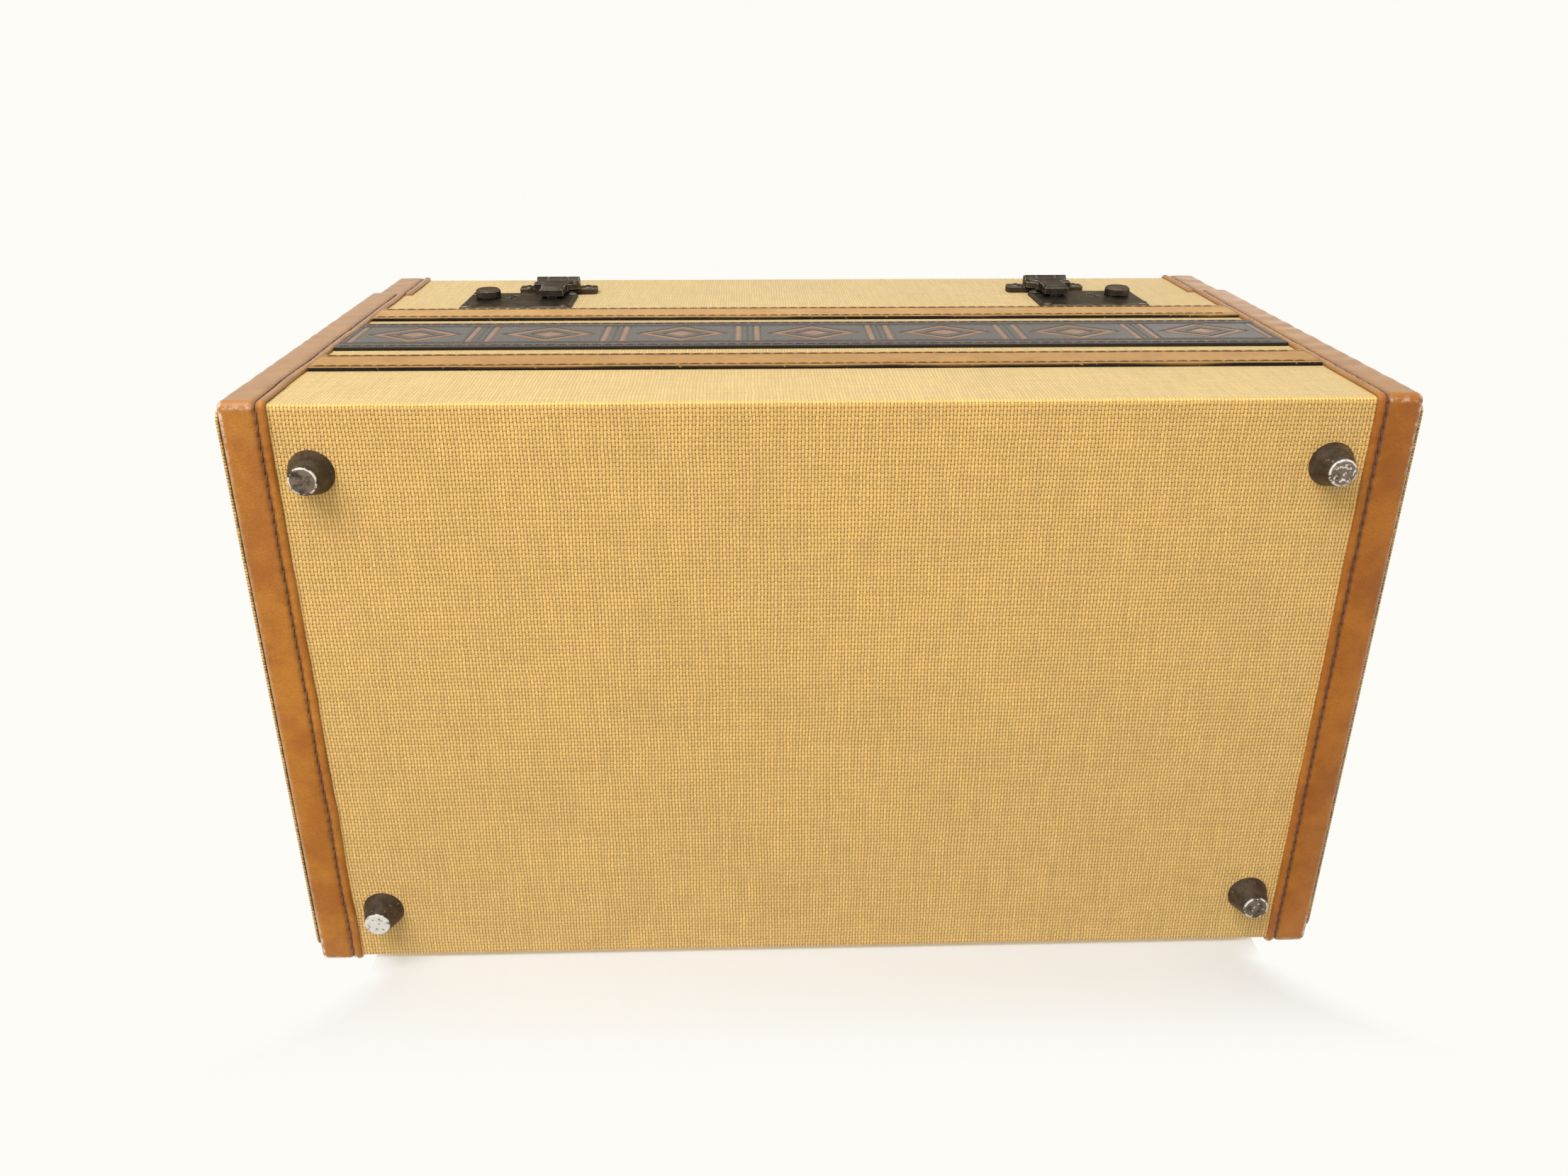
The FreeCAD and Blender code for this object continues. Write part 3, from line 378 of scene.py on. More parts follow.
def canvas(name, low, high, out=0):
    """Coarse cotton canvas: round the box from low to high, or on an end panel that stands on its leather."""
    shader = Shader(name)
    m = shader.math
    place = shader.place()
    x, y, z = shader.split(place)
    if out:
        u, v = x, wrap_coordinate(shader, y, z, low, high, out)
    else:
        u, v = y, z
    u = shader.stray(u, shader.noise(place, 0.05, 2.0), 1.5)
    v = shader.stray(v, shader.noise(place, 0.09, 2.0), 0.7)
    wander = shader.add("ShaderNodeTexNoise", inputs={"Vector": place, "Scale": 0.4, "Detail": 1.0})
    stray_u, stray_v, _ = shader.split(wander.outputs["Color"])
    height, painted_light_share, fibre, tone = weave(
        shader, shader.stray(u, stray_u, 0.22), shader.stray(v, stray_v, 0.26))
    mottle = shader.noise(place, 0.028, 3.0)
    if out:
        # Painted sheen: on the front the cloth is paler and its grooves less shaded.
        front_sheen = shader.step(y, low[1] + 1.2, low[1] + 0.4, 0.0, FRONT_PAINTED_SHEEN)
        painted_light_share = m("ADD", painted_light_share, m("MULTIPLY", m("SUBTRACT", 1.0, painted_light_share), front_sheen))
        crown = shader.mix(front_sheen, CANVAS_LIGHT, CANVAS_PAINTED_SHEEN)
    else:
        crown = CANVAS_LIGHT
    # Painted shade: the weave's gaps and low parts take the dark colour.
    lit = shader.mix(painted_light_share, CANVAS_PAINTED_SHADE, crown)
    value = m("MULTIPLY_ADD", fibre, 0.28, 0.86)
    value = m("MULTIPLY", value, m("MULTIPLY_ADD", mottle, 0.14, 0.93))
    value = m("MULTIPLY", value, shader.step(tone, 0.28, 0.72, 1.0 - SLUB / 2, 1.0 + SLUB / 2))
    colour = shader.shade(lit, value)
    if not out:
        frayed = m("MULTIPLY", shader.noise(place, 0.9, 4.0, 0.7), 1.5)
        edge_from, edge_to = (m("ADD", frayed, high[0] + past) for past in (0.75, 0.05))
        rim = shader.step(m("ABSOLUTE", x), edge_from, edge_to)
        colour = shader.mix(rim, colour, CANVAS_CUT)
    relief = m("MULTIPLY_ADD", fibre, 0.20, height)
    return shader.surface(
        Base_Color=colour, Roughness=0.62, Sheen_Weight=0.55 if out else 0.15, Sheen_Roughness=0.45,
        Sheen_Tint=CANVAS_SHEEN, Specular_IOR_Level=0.3, Normal=shader.bump(relief, WEAVE_DEPTH))


def grip_edge(shader, place):
    """Mask of the handle's inner edge, where its two layers of leather meet."""
    m = shader.math
    x, y, z = shader.split(place)
    low, high = corners("handle_grip")
    bend = high - GRIP_HALF_WIDE - GRIP_BEND_R
    past_x = m("MAXIMUM", m("SUBTRACT", m("ABSOLUTE", x), bend[0]), 0.0)
    past_y = m("MAXIMUM", m("SUBTRACT", y, bend[1]), 0.0)
    away = shader.hypot(past_x, past_y)
    off = m("ABSOLUTE", m("SUBTRACT", z, (low[2] + high[2]) / 2))
    return m("MULTIPLY", shader.step(off, 0.65, 0.30), shader.step(away, GRIP_BEND_R - 2, GRIP_BEND_R - 4))


def leather(name, base, deep, attributes=True, gloss=0.42, coat=0.4):
    """Smooth leather with fine pores, marked by its piece's attributes, or on the handle by its edges."""
    shader = Shader(name)
    m = shader.math
    place = shader.place()
    pores = shader.cells(place, 1.9)
    grain = shader.noise(place, 1.7, 5.0, 0.72)
    mottle = shader.noise(place, 0.07, 5.0, 0.62)
    patchy = shader.step(mottle, 0.30, 0.70)
    colour = shader.mix(patchy, deep, base)
    if attributes:
        # Painted shade and sheen: the front and back faces of a binding are darker and greyer than the rest
        # of it.
        face_shaded = shader.mix(patchy, TAN_FACE_SHADE_SHEEN_DEEP, TAN_FACE_SHADE_SHEEN)
        colour = shader.mix(shader.attribute("face_painted_shade_sheen"), colour, face_shaded)
    colour = shader.mix(shader.step(pores, 0.30, 0.02, 0.0, 0.30), colour, deep)
    tone = shader.step(grain, 0.34, 0.66, 0.85, 1.10)
    colour = shader.shade(colour, tone)
    scuffs = shader.noise(place, 0.55, 5.0, 0.7)
    # Paler where worn; along the bindings' rounded outer edges this is also a painted highlight.
    if attributes:
        rubbed = m("MULTIPLY", shader.attribute("worn_and_highlight"), shader.step(scuffs, 0.42, 0.56))
        # Darker in pressed seams, stitch holes and gaps: partly painted shade.
        colour = shader.mix(m("MULTIPLY", shader.attribute("pressed"), 0.8), colour, LEATHER_SEAM_SHADE_AND_DYE)
    else:
        rubbed = m("MULTIPLY", shader.step(shader.edges(0.6), 0.02, 0.2), shader.step(scuffs, 0.5, 0.66))
        colour = shader.mix(m("MULTIPLY", grip_edge(shader, place), 0.85), colour, LEATHER_SEAM_SHADE_AND_DYE)
    colour = shader.mix(m("MULTIPLY", rubbed, 0.9), colour, TAN_WORN_AND_HIGHLIGHT)
    rough = shader.stray(gloss, grain, 0.35)
    if attributes:
        dyed = m("MULTIPLY", shader.attribute("dyed"), shader.step(scuffs, 0.30, 0.40))
        colour = shader.mix(dyed, colour, EDGE_DYE)
        rough = m("ADD", rough, m("MULTIPLY", dyed, 0.5), clamp=True)
    relief = m("ADD", m("MULTIPLY", pores, 0.5), m("MULTIPLY", grain, 0.5))
    normal = shader.bump(relief, 0.14, 0.6)
    return shader.surface(Base_Color=colour, Roughness=rough, Specular_IOR_Level=0.5, Coat_Weight=coat,
                          Coat_Roughness=0.34, Coat_Normal=normal, Normal=normal)


def band_leather():
    """Embossed leather: slate over brown, with hatching pressed into the slate."""
    shader = Shader("band_leather")
    m = shader.math
    place = shader.place()
    x, y, z = shader.split(place)
    hatch = m("SINE", m("MULTIPLY", m("ADD", x, z), 2 * math.pi / 1.15))
    grain = shader.noise(place, 1.6, 4.0, 0.65)
    mottle = shader.noise(place, 0.11, 3.0)
    slate = shader.attribute("slate")
    brown = shader.mix(shader.step(mottle, 0.3, 0.7), BAND_BROWN, BAND_BROWN_PALE)
    cold = shader.mix(shader.step(grain, 0.35, 0.68), SLATE, SLATE_PALE)
    rub = m("MULTIPLY", slate, shader.step(grain, 0.70, 0.60))
    colour = shader.mix(rub, brown, cold)
    colour = shader.mix(m("MULTIPLY", shader.attribute("pressed"), 0.72), colour, BAND_LINE)
    colour = shader.mix(shader.attribute("dyed"), colour, EDGE_DYE)
    hatched = m("MULTIPLY", m("MULTIPLY", slate, hatch), 0.35)
    relief = m("ADD", grain, hatched)
    return shader.surface(Base_Color=colour, Roughness=0.46, Specular_IOR_Level=0.5,
                          Normal=shader.bump(relief, 0.12, 0.7))


def thread(name, colour):
    """Waxed twisted thread."""
    shader = Shader(name)
    place = shader.place()
    twist = shader.noise(place, 2.6, 2.0)
    pale = tuple(min(1.0, c * 1.9) for c in colour[:3]) + (1,)
    tone = shader.mix(shader.step(twist, 0.3, 0.7), colour, pale)
    return shader.surface(Base_Color=tone, Roughness=0.62, Normal=shader.bump(twist, 0.15, 0.6))


def antique_metal(name, dark=METAL_DARK, bronze=0.0):
    """Dark plated metal, rubbed bright on its edges, which is also a painted highlight there."""
    shader = Shader(name)
    m = shader.math
    place = shader.place()
    cloud = shader.noise(place, 0.22, 4.0, 0.6)
    speck = shader.noise(place, 1.7, 4.0, 0.7)
    colour = shader.mix(shader.step(cloud, 0.35, 0.7), dark, METAL_MID)
    specked = m("MULTIPLY", shader.step(speck, 0.52, 0.70), 0.22 + bronze)
    colour = shader.mix(specked, colour, METAL_SPECK)
    # Bright edges: wear, and also a painted highlight.
    rubbed = m("MULTIPLY", shader.step(cloud, 0.32, 0.52), shader.step(speck, 0.30, 0.52))
    worn_and_highlight = m("MULTIPLY", shader.step(shader.edges(0.46), 0.01, 0.16), rubbed)
    colour = shader.mix(worn_and_highlight, colour, METAL_WORN_AND_HIGHLIGHT)
    rough = m("MULTIPLY_ADD", speck, 0.24, 0.30)
    return shader.surface(Base_Color=colour, Metallic=0.95, Roughness=rough, Specular_Tint=METAL_GLANCE,
                          Normal=shader.bump(speck, 0.05, 0.4, shader.bevel(0.22)))


def foot_metal():
    """Dark bronze feet whose plating is chipped off round the tip."""
    shader = Shader("foot_metal")
    m = shader.math
    place = shader.place()
    x, y, z = shader.split(place)
    low, high = corners("feet")
    out_x = high[0] - FOOT_R
    out_y = (high[1] - low[1]) / 2 - FOOT_R
    middle_y = (high[1] + low[1]) / 2
    from_x = m("SUBTRACT", m("ABSOLUTE", x), out_x)
    from_y = m("SUBTRACT", m("ABSOLUTE", m("SUBTRACT", y, middle_y)), out_y)
    away = shader.hypot(from_x, from_y)
    side_x = m("SIGN", x)
    side_y = m("SIGN", m("SUBTRACT", y, middle_y))
    share = m("ADD", m("MULTIPLY", side_y, 0.15), m("MULTIPLY", m("MULTIPLY", side_x, side_y), -0.20))
    cloud = shader.noise(place, 0.30, 4.0, 0.6)
    chips = shader.noise(place, 0.75, 5.0, 0.68)
    pits = shader.noise(place, 1.3, 4.0, 0.7)
    low_down = shader.step(z, 1.3, 0.5)
    tip = m("MULTIPLY", shader.step(away, FOOT_TIP_R + 0.1, FOOT_TIP_R - 0.3), low_down)
    from_rim = m("ABSOLUTE", m("SUBTRACT", away, FOOT_TIP_R - 0.25))
    ring = m("MULTIPLY", shader.step(from_rim, 0.42, 0.14), low_down)
    colour = shader.mix(shader.step(cloud, 0.35, 0.66), FOOT_BODY, FOOT_PALE)
    colour = shader.mix(shader.step(pits, 0.44, 0.32, 0.0, 0.9), colour, FOOT_PIT)
    colour = shader.mix(shader.step(chips, 0.62, 0.70, 0.0, 0.75), colour, FOOT_CHIP)
    polish = m("MULTIPLY_ADD", share, 0.15, cloud)
    face = shader.mix(shader.step(polish, 0.28, 0.55), FOOT_PALE, FOOT_FACE)
    face = shader.mix(shader.step(pits, 0.42, 0.34, 0.0, 0.8), face, FOOT_PIT)
    colour = shader.mix(tip, colour, face)
    flaked = m("MULTIPLY", tip, shader.step(m("MULTIPLY_ADD", share, 0.5, chips), 0.57, 0.61))
    rim = m("MULTIPLY", ring, shader.step(m("MULTIPLY_ADD", cloud, 1.1, chips), 0.98, 1.05))
    bare = m("MAXIMUM", flaked, rim)
    colour = shader.mix(bare, colour, FOOT_BARE)
    metal = m("MULTIPLY", m("SUBTRACT", 1.0, bare), 0.35)
    relief = m("ADD", m("MULTIPLY", pits, 0.6), m("MULTIPLY", chips, 0.4))
    return shader.surface(Base_Color=colour, Metallic=metal, Roughness=0.42,
                          Normal=shader.bump(relief, 0.30, 0.6, shader.bevel(0.2)))


def lining_cloth():
    """Fine twill lining with satin stripes, softly creased."""
    shader = Shader("lining_cloth")
    m = shader.math
    place = shader.place()
    x, y, z = shader.split(place)
    facing = shader.split(shader.add("ShaderNodeNewGeometry").outputs["Normal"])[0]
    on_end = m("GREATER_THAN", m("ABSOLUTE", facing), 0.7)
    across = m("ADD", x, m("MULTIPLY", on_end, m("SUBTRACT", y, x)))
    sway = shader.noise(place, 0.02, 2.0)
    across = m("MULTIPLY_ADD", sway, 3.0, across)
    wave = m("SINE", m("MULTIPLY", across, 2 * math.pi / LINING_STRIPE))
    fine = m("SINE", m("MULTIPLY", across, 6 * math.pi / LINING_STRIPE))
    satin = shader.step(m("MULTIPLY_ADD", fine, 0.45, wave), -0.12, 0.12)
    rib = m("SINE", m("MULTIPLY", m("ADD", m("ADD", x, y), z), 2 * math.pi / LINING_PITCH))
    height = m("MULTIPLY_ADD", rib, 0.5, 0.5)
    soft = shader.noise(place, 0.03, 3.0)
    raised = m("MULTIPLY", height, shader.step(soft, 0.2, 0.75, 0.6, 1.0))
    colour = shader.mix(raised, LINING_DARK, LINING_LIGHT)
    tone = m("MULTIPLY", m("MULTIPLY_ADD", satin, 0.20, 0.80), shader.step(soft, 0.3, 0.7, 0.92, 1.06))
    colour = shader.shade(colour, tone)
    rough = m("SUBTRACT", 0.88, m("MULTIPLY", satin, 0.34))
    creases = shader.noise(shader.join(x, y, m("MULTIPLY", z, 0.35)), 0.045, 3.0, 0.5)
    creased = shader.bump(creases, LINING_CREASE)
    return shader.surface(Base_Color=colour, Roughness=rough, Sheen_Weight=0.25,
                          Normal=shader.bump(height, 0.12, 1.0, creased))


def board_wood():
    """Plain pale plywood."""
    shader = Shader("board_wood")
    place = shader.place()
    x, y, z = shader.split(place)
    grain = shader.noise(shader.join(shader.math("MULTIPLY", x, 0.06), y, z), 0.55, 5.0, 0.65)
    colour = shader.mix(shader.step(grain, 0.35, 0.65), WOOD_DARK, WOOD_LIGHT)
    return shader.surface(Base_Color=colour, Roughness=0.7, Normal=shader.bump(grain, 0.1))


def mirror_glass():
    """Silvered glass, clouded and spotted towards its edges, with a painted shade line where its bevel
    starts.
    """
    shader = Shader("mirror_glass")
    m = shader.math
    place = shader.place()
    x, y, _ = shader.split(place)
    low, high = corners("mirror")
    inward = []
    for value, axis in ((x, 0), (y, 1)):
        middle = (low[axis] + high[axis]) / 2
        half = (high[axis] - low[axis]) / 2
        inward.append(m("SUBTRACT", half, m("ABSOLUTE", m("SUBTRACT", value, middle))))
    inside = m("MINIMUM", *inward)
    cloud = shader.noise(place, 0.05, 4.0)
    spots = shader.noise(place, 0.55, 5.0, 0.7)
    aged = m("MULTIPLY", shader.step(spots, 0.52, 0.62), shader.step(inside, 16.0, 5.0))
    # Painted shade: a dark line where the bevel starts.
    bevel = shader.step(m("ABSOLUTE", m("SUBTRACT", inside, MIRROR_BEVEL)), 0.5, 0.15, 0.0, 0.7)
    colour = shader.mix(shader.step(cloud, 0.35, 0.7), MIRROR, MIRROR_CLOUDED)
    colour = shader.mix(m("MULTIPLY", aged, 0.8), colour, MIRROR_SPOT)
    colour = shader.mix(bevel, colour, MIRROR_SPOT)
    rough = m("ADD", shader.step(cloud, 0.55, 0.85, 0.015, 0.08), m("MULTIPLY", aged, 0.3))
    tilt = shader.bump(shader.step(inside, 0.0, MIRROR_BEVEL), 0.5, 0.8)
    return shader.surface(Base_Color=colour, Metallic=1.0, Roughness=rough, Normal=tilt)


def spring_steel():
    """Bright steel strip, brushed along its length."""
    shader = Shader("spring_steel")
    place = shader.place()
    brushed = shader.noise(shader.join(shader.split(place)[0], 0.0), 2.0, 4.0)
    return shader.surface(Base_Color=STEEL, Metallic=1.0,
                          Roughness=shader.step(brushed, 0.2, 0.8, 0.25, 0.45))


class Wrap:
    """Line with two round corners: on the canvas round one end of the body or lid, or along the handle."""

    def __init__(self, low, high, out, radius=CLOTH_CORNER_R):
        self.out = out
        self.radius = radius
        self.y0, self.y1 = low[1], high[1]
        self.open_z = high[2] if out < 0 else low[2]
        self.closed_z = low[2] if out < 0 else high[2]
        r = radius
        self.rise = abs(self.closed_z - self.open_z) - r
        self.turn = r * math.pi / 2
        self.flat = (self.y1 - self.y0) - 2 * r
        self.length = 2 * (self.rise + self.turn) + self.flat

    def at(self, s):
        """Place and outward normal, each in y and z, at distances along the line."""
        r = self.radius
        first = np.clip((s - self.rise) / r, 0, math.pi / 2)
        second = np.clip((s - self.rise - self.turn - self.flat) / r, 0, math.pi / 2)
        normal_y = -np.cos(first) + np.sin(second)
        normal_z = self.out * np.sin(first) * np.cos(second)
        down = np.clip(s, 0, self.rise)
        over = np.clip(s - self.rise - self.turn, 0, self.flat)
        up = np.clip(s - self.length + self.rise, 0, self.rise)
        past_second = s > self.length - self.rise - self.turn
        centre_y = np.where(past_second, self.y1 - r, self.y0 + r + over)
        centre_z = self.open_z + self.out * (down - up)
        return centre_y + r * normal_y, centre_z + r * np.where(first > 0, normal_z, 0), normal_y, normal_z


def sweep(place, stations, across, height):
    """Closed band: a ring of points (across, height) at each station, joined by quads and capped."""
    count, ring = across.shape
    s = np.repeat(stations[:, None], ring, 1)
    points = np.stack(place(s, across, height), -1).reshape(-1, 3)
    faces = []
    for i in range(count - 1):
        for j in range(ring):
            k = (j + 1) % ring
            faces.append((i * ring + j, i * ring + k, (i + 1) * ring + k, (i + 1) * ring + j))
    faces.append(tuple(range(ring)))
    faces.append(tuple(range((count - 1) * ring, count * ring)))
    return points, faces


def box_shell(low, high):
    """Plain box for the hidden lap of a binding under its end panel."""
    points = np.array([[x, y, z] for x in (low[0], high[0])
                       for y in (low[1], high[1]) for z in (low[2], high[2])])
    return points, [(0, 1, 3, 2), (4, 6, 7, 5), (0, 4, 5, 1), (2, 3, 7, 6), (0, 2, 6, 4), (1, 5, 7, 3)]


def piece(name, shells, material, body, replaces=(), attributes=None):
    """Join shells of millimetre points into one mesh object that rides on a body."""
    points, faces, offset = [], [], 0
    for shell_points, shell_faces in shells:
        points.append(shell_points)
        faces.extend(tuple(i + offset for i in face) for face in shell_faces)
        offset += len(shell_points)
    mesh = bpy.data.meshes.new(name)
    mesh.from_pydata((np.concatenate(points) * MM).tolist(), [], faces)
    work = bmesh.new()
    work.from_mesh(mesh)
    bmesh.ops.recalc_face_normals(work, faces=work.faces)
    work.to_mesh(mesh)
    work.free()
    mesh.shade_smooth()
    for key, values in (attributes or {}).items():
        layer = mesh.attributes.new(key, "FLOAT", "POINT")
        full = np.zeros(len(mesh.vertices), np.float32)
        full[:len(values)] = values
        layer.data.foreach_set("value", full)
    mesh.materials.append(material)
    made = bpy.data.objects.new(name, mesh)
    bpy.context.scene.collection.objects.link(made)
    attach(made, body)
    if replaces:
        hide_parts(*replaces)


def ripple(s, a, wave, seed):
    """Smooth noise from -1 to 1 over a band."""
    flat = [noise.noise(Vector((x / wave, y / wave, seed))) for x, y in zip(np.ravel(s), np.ravel(a))]
    return np.array(flat).reshape(np.shape(s))


def stitches(rng, place, length, across, sit, slant):
    """Row of sewn stitches: each a short thick thread that rises out of one hole and dips into the next."""
    rings, sides = 7, 6
    shells = []
    turn = np.arange(sides) * 2 * math.pi / sides
    count = int((length - SEAM_START) / STITCH_PITCH)
    for k in range(count):
        t = np.linspace(0.0, 1.0, rings)
        lift = np.sin(math.pi * t)
        jitter = rng.normal(0, 0.06, 3)
        s = SEAM_START + STITCH_PITCH * (k - 0.02 + 1.02 * t) + jitter[0]
        middle = across + slant * (2 * t - 1) * (1 + jitter[1]) + jitter[2]
        rise = sit - 0.30 + 0.36 * lift ** 0.5
        thick = STITCH_R * (0.55 + 0.45 * lift ** 0.5)
        a = middle[:, None] + thick[:, None] * np.cos(turn)
        h = rise[:, None] + 0.8 * thick[:, None] * np.sin(turn)
        shells.append(sweep(place, s, a, h))
    return shells


def stitch_phase(s):
    """1 at the holes of a seam and -1 halfway between them."""
    return np.cos(2 * math.pi * (s - SEAM_START) / STITCH_PITCH)


def section_grid(stations, outline):
    """Distance along a band, and its section's outline across and out, at each of its stations."""
    outline = np.array(outline)
    s = np.repeat(stations[:, None], len(outline), 1)
    a, h = (np.repeat(outline[None, :, k], len(stations), 0) for k in (0, 1))
    return s, a, h


def seam_stray(s, seed):
    """Wavering of a binding's inner edge and its seam."""
    level = np.zeros_like(s)
    return 0.50 * ripple(s, level, 24.0, seed + 9) + 0.24 * ripple(s, level, 7.0, seed + 13)


def binding_outline(stations, width, wrap, seed):
    """Section of a binding at each station: bead, stitched groove, face, rounded edge, end lap, inside."""
    bead = [(0.12, 0.02), (-0.02, 0.45), (0.10, 0.92), (0.45, 1.28), (BEAD_WIDTH / 2, BEAD_HEIGHT),
            (1.70, 1.34), (2.10, 1.02), (2.45, 0.74)]
    face = [(SEAM_INSET, 0.60), (3.42, 0.76), (3.85, 0.98), (4.6, 1.08), (6.0, 1.10), (8.0, 1.08)]
    turn = np.linspace(0, math.pi / 2, 9)
    edge = [(width - BINDING_ROUND + BINDING_ROUND * math.sin(t),
             LEATHER_T - BINDING_ROUND + BINDING_ROUND * math.cos(t)) for t in turn]
    lap = LEATHER_T - BINDING_LAP - 0.1
    inside = [(width, lap), (width - 0.94, lap), (width - 0.94, -0.5), (width - 1.6, 0.02)]
    outline = bead + face + edge + inside
    s, a, h = section_grid(stations, outline)
    phase = stitch_phase(s)
    near = np.exp(-((a - SEAM_INSET) / 0.75) ** 2)
    a = a - 0.30 * near * phase * (a < SEAM_INSET) * (a > 1.2)
    h = h - 0.20 * near * (0.5 + 0.5 * phase)
    pinch = np.exp(-((a - BEAD_WIDTH / 2) / 0.9) ** 2) * (h > 0.3)
    h = h - pinch * (0.10 * (0.5 + 0.5 * phase) - 0.14 * ripple(s, a, 5.5, seed + 11))
    shown = (np.arange(len(outline)) > 0) & (np.arange(len(outline)) < len(outline) - 4)
    h = h + shown * 0.07 * ripple(s, a, 9.0, seed)
    front = np.exp(-((s - wrap.rise * 0.55) / (wrap.rise * 0.42)) ** 4) * (s < wrap.rise)
    wave = np.sin(2 * math.pi * (s + 0.35 * a + 4.5 * ripple(s, a * 0.6, 16.0, seed + 5)) / FOLD_PITCH)
    fold = 0.5 * wave + 0.5 * ripple(s * 1.3, a * 0.3, 6.0, seed + 7)
    h = h + shown * FOLD_DEPTH * front * fold * np.clip((a - SEAM_INSET - 0.6) / 2, 0, 1)
    a = a + shown * seam_stray(s, seed) * (a < SEAM_INSET + 0.3)
    return s, a, h


def binding_marks(s, a, h, width, wrap):
    """Shares of wear and painted edge highlight, of pressing and painted shade, and of painted shade and
    sheen on the front and back faces of a binding.
    """
    turns = np.array([wrap.rise + wrap.turn / 2, wrap.length - wrap.rise - wrap.turn / 2])
    from_turns = np.min(np.abs(s[..., None] - turns), -1)
    below = (s > turns[0]) * (s < turns[1])
    corner = np.exp(-(from_turns / 7.0) ** 2)
    reach = np.exp(-(from_turns / 16.0) ** 2) * below
    # Wear at the corners and folds, and a painted highlight along the rounded outer edge.
    rim = np.exp(-((a - width + 1.15) / 0.42) ** 2) * (h > -0.9)
    ends = np.array([wrap.rise + wrap.turn * 0.72, wrap.length - wrap.rise - wrap.turn * 0.72])
    fold = np.exp(-(np.min(np.abs(s[..., None] - ends), -1) / 0.24) ** 2)
    fold = fold * (a > SEAM_INSET + 0.8) * (a < width - 0.5)
    worn_and_highlight = np.clip(rim * (0.15 + 0.6 * corner + 0.8 * reach) + 0.9 * fold, 0, 1)
    # The seam's groove and holes and the bead's edge by the canvas are darkened: pressed leather and painted
    # shade.
    holes = 0.5 + 0.5 * stitch_phase(s)
    seam = np.exp(-((a - SEAM_INSET) / 0.6) ** 2) * (h > 0.3) * (0.55 + 0.45 * holes)
    pressed = np.clip(seam + 0.7 * (h < 0.3) * (a < 1), 0, 1)
    # Painted shade and sheen over the front and back faces.
    beside = np.maximum(wrap.rise - s, s - wrap.length + wrap.rise)
    face_painted_shade_sheen = np.clip(beside / 3 + 0.5, 0, 1) * (h > -0.6)
    return {"worn_and_highlight": worn_and_highlight.ravel(), "pressed": pressed.ravel(), "face_painted_shade_sheen": face_painted_shade_sheen.ravel()}


def binding_laps(side, wrap, low, high):
    """Lap of a binding under its end panel, on three sides of it."""
    x0, x1 = sorted((side * (high[0] - LEATHER_T + 0.02), side * (high[0] - 0.02)))
    y0, y1 = low[1] + BINDING_LAP, high[1] - BINDING_LAP
    front, back = low[1] + BINDING_FLANGE, high[1] - BINDING_FLANGE
    lap_z, flange_z = (wrap.closed_z - wrap.out * (inset - LEATHER_T)
                       for inset in (BINDING_LAP, BINDING_FLANGE))
    level = sorted((wrap.open_z, lap_z))
    deep = sorted((lap_z, flange_z))
    return [box_shell((x0, y0, level[0]), (x1, front, level[1])),
            box_shell((x0, back, level[0]), (x1, y1, level[1])),
            box_shell((x0, front, deep[0]), (x1, back, deep[1]))]


def binding(side, part, wrap, low, high, material, sewing, rng):
    """Leather binding round one end, its stitching and the lap under its end panel."""
    name = ("left" if side < 0 else "right") + "_" + part + "_binding"
    width = high[0] - low[0]

    def place(s, a, h):
        y, z, normal_y, normal_z = wrap.at(s)
        return side * (low[0] + a), y + normal_y * h, z + normal_z * h

    def place_sewn(s, a, h):
        return place(s, a + seam_stray(s, SEED + side), h)

    stations = np.linspace(0, wrap.length, int(wrap.length / STITCH_PITCH * STITCH_SECTIONS))
    s, a, h = binding_outline(stations, width, wrap, SEED + side)
    shells = [sweep(place, stations, a, h)] + binding_laps(side, wrap, low, high)
    marks = binding_marks(s, a, h, width, wrap)
    piece(name + "_leather", shells, material, part, [name], marks)
    rows = stitches(rng, place_sewn, wrap.length - 0.6, SEAM_INSET, sit=0.72, slant=STITCH_SLANT)
    piece(name + "_stitches", rows, sewing, part)


def trim_place(low, high):
    """Placing on a flat strip of the front: along, up from its lower edge, and out from the canvas."""
    def place(s, a, h):
        return low[0] + s, high[1] - h, low[2] + a
    return place


def trim_edges(height, thick):
    """Both edges of a strip's section, each from its seat to past its stitched groove."""
    near = [(0.0, 0.0), (-0.02, thick * 0.45), (0.04, thick * 0.82), (0.38, thick), (1.1, thick + 0.03),
            (TRIM_SEAM_INSET - 0.4, thick - 0.06), (TRIM_SEAM_INSET, thick - 0.22),
            (TRIM_SEAM_INSET + 0.4, thick - 0.06), (TRIM_SEAM_INSET + 0.9, thick + 0.04)]
    far = [(height - a, h) for a, h in reversed(near)]
    return near, far


def trim_marks(a, height):
    """Shares of dye at a strip's rim and of its pressed seams, darkened partly as painted shade."""
    edge = np.minimum(a, height - a)
    dyed = np.clip((TRIM_DYE - edge) / 0.15, 0, 1)
    groove = np.exp(-((edge - TRIM_SEAM_INSET) / 0.5) ** 2)
    return dyed, groove


def sew_trim(node, sewing, rng):
    """Stitching along both edges of a strip."""
    low, high = corners(node)
    length, thick, height = high - low
    place = trim_place(low, high)
    rows = []
    for across in (TRIM_SEAM_INSET, height - TRIM_SEAM_INSET):
        rows += stitches(rng, place, length - TRIM_SEAM_SHORT, across, sit=thick + 0.10, slant=TRIM_SLANT)
    piece(node + "_stitches", rows, sewing, "body")


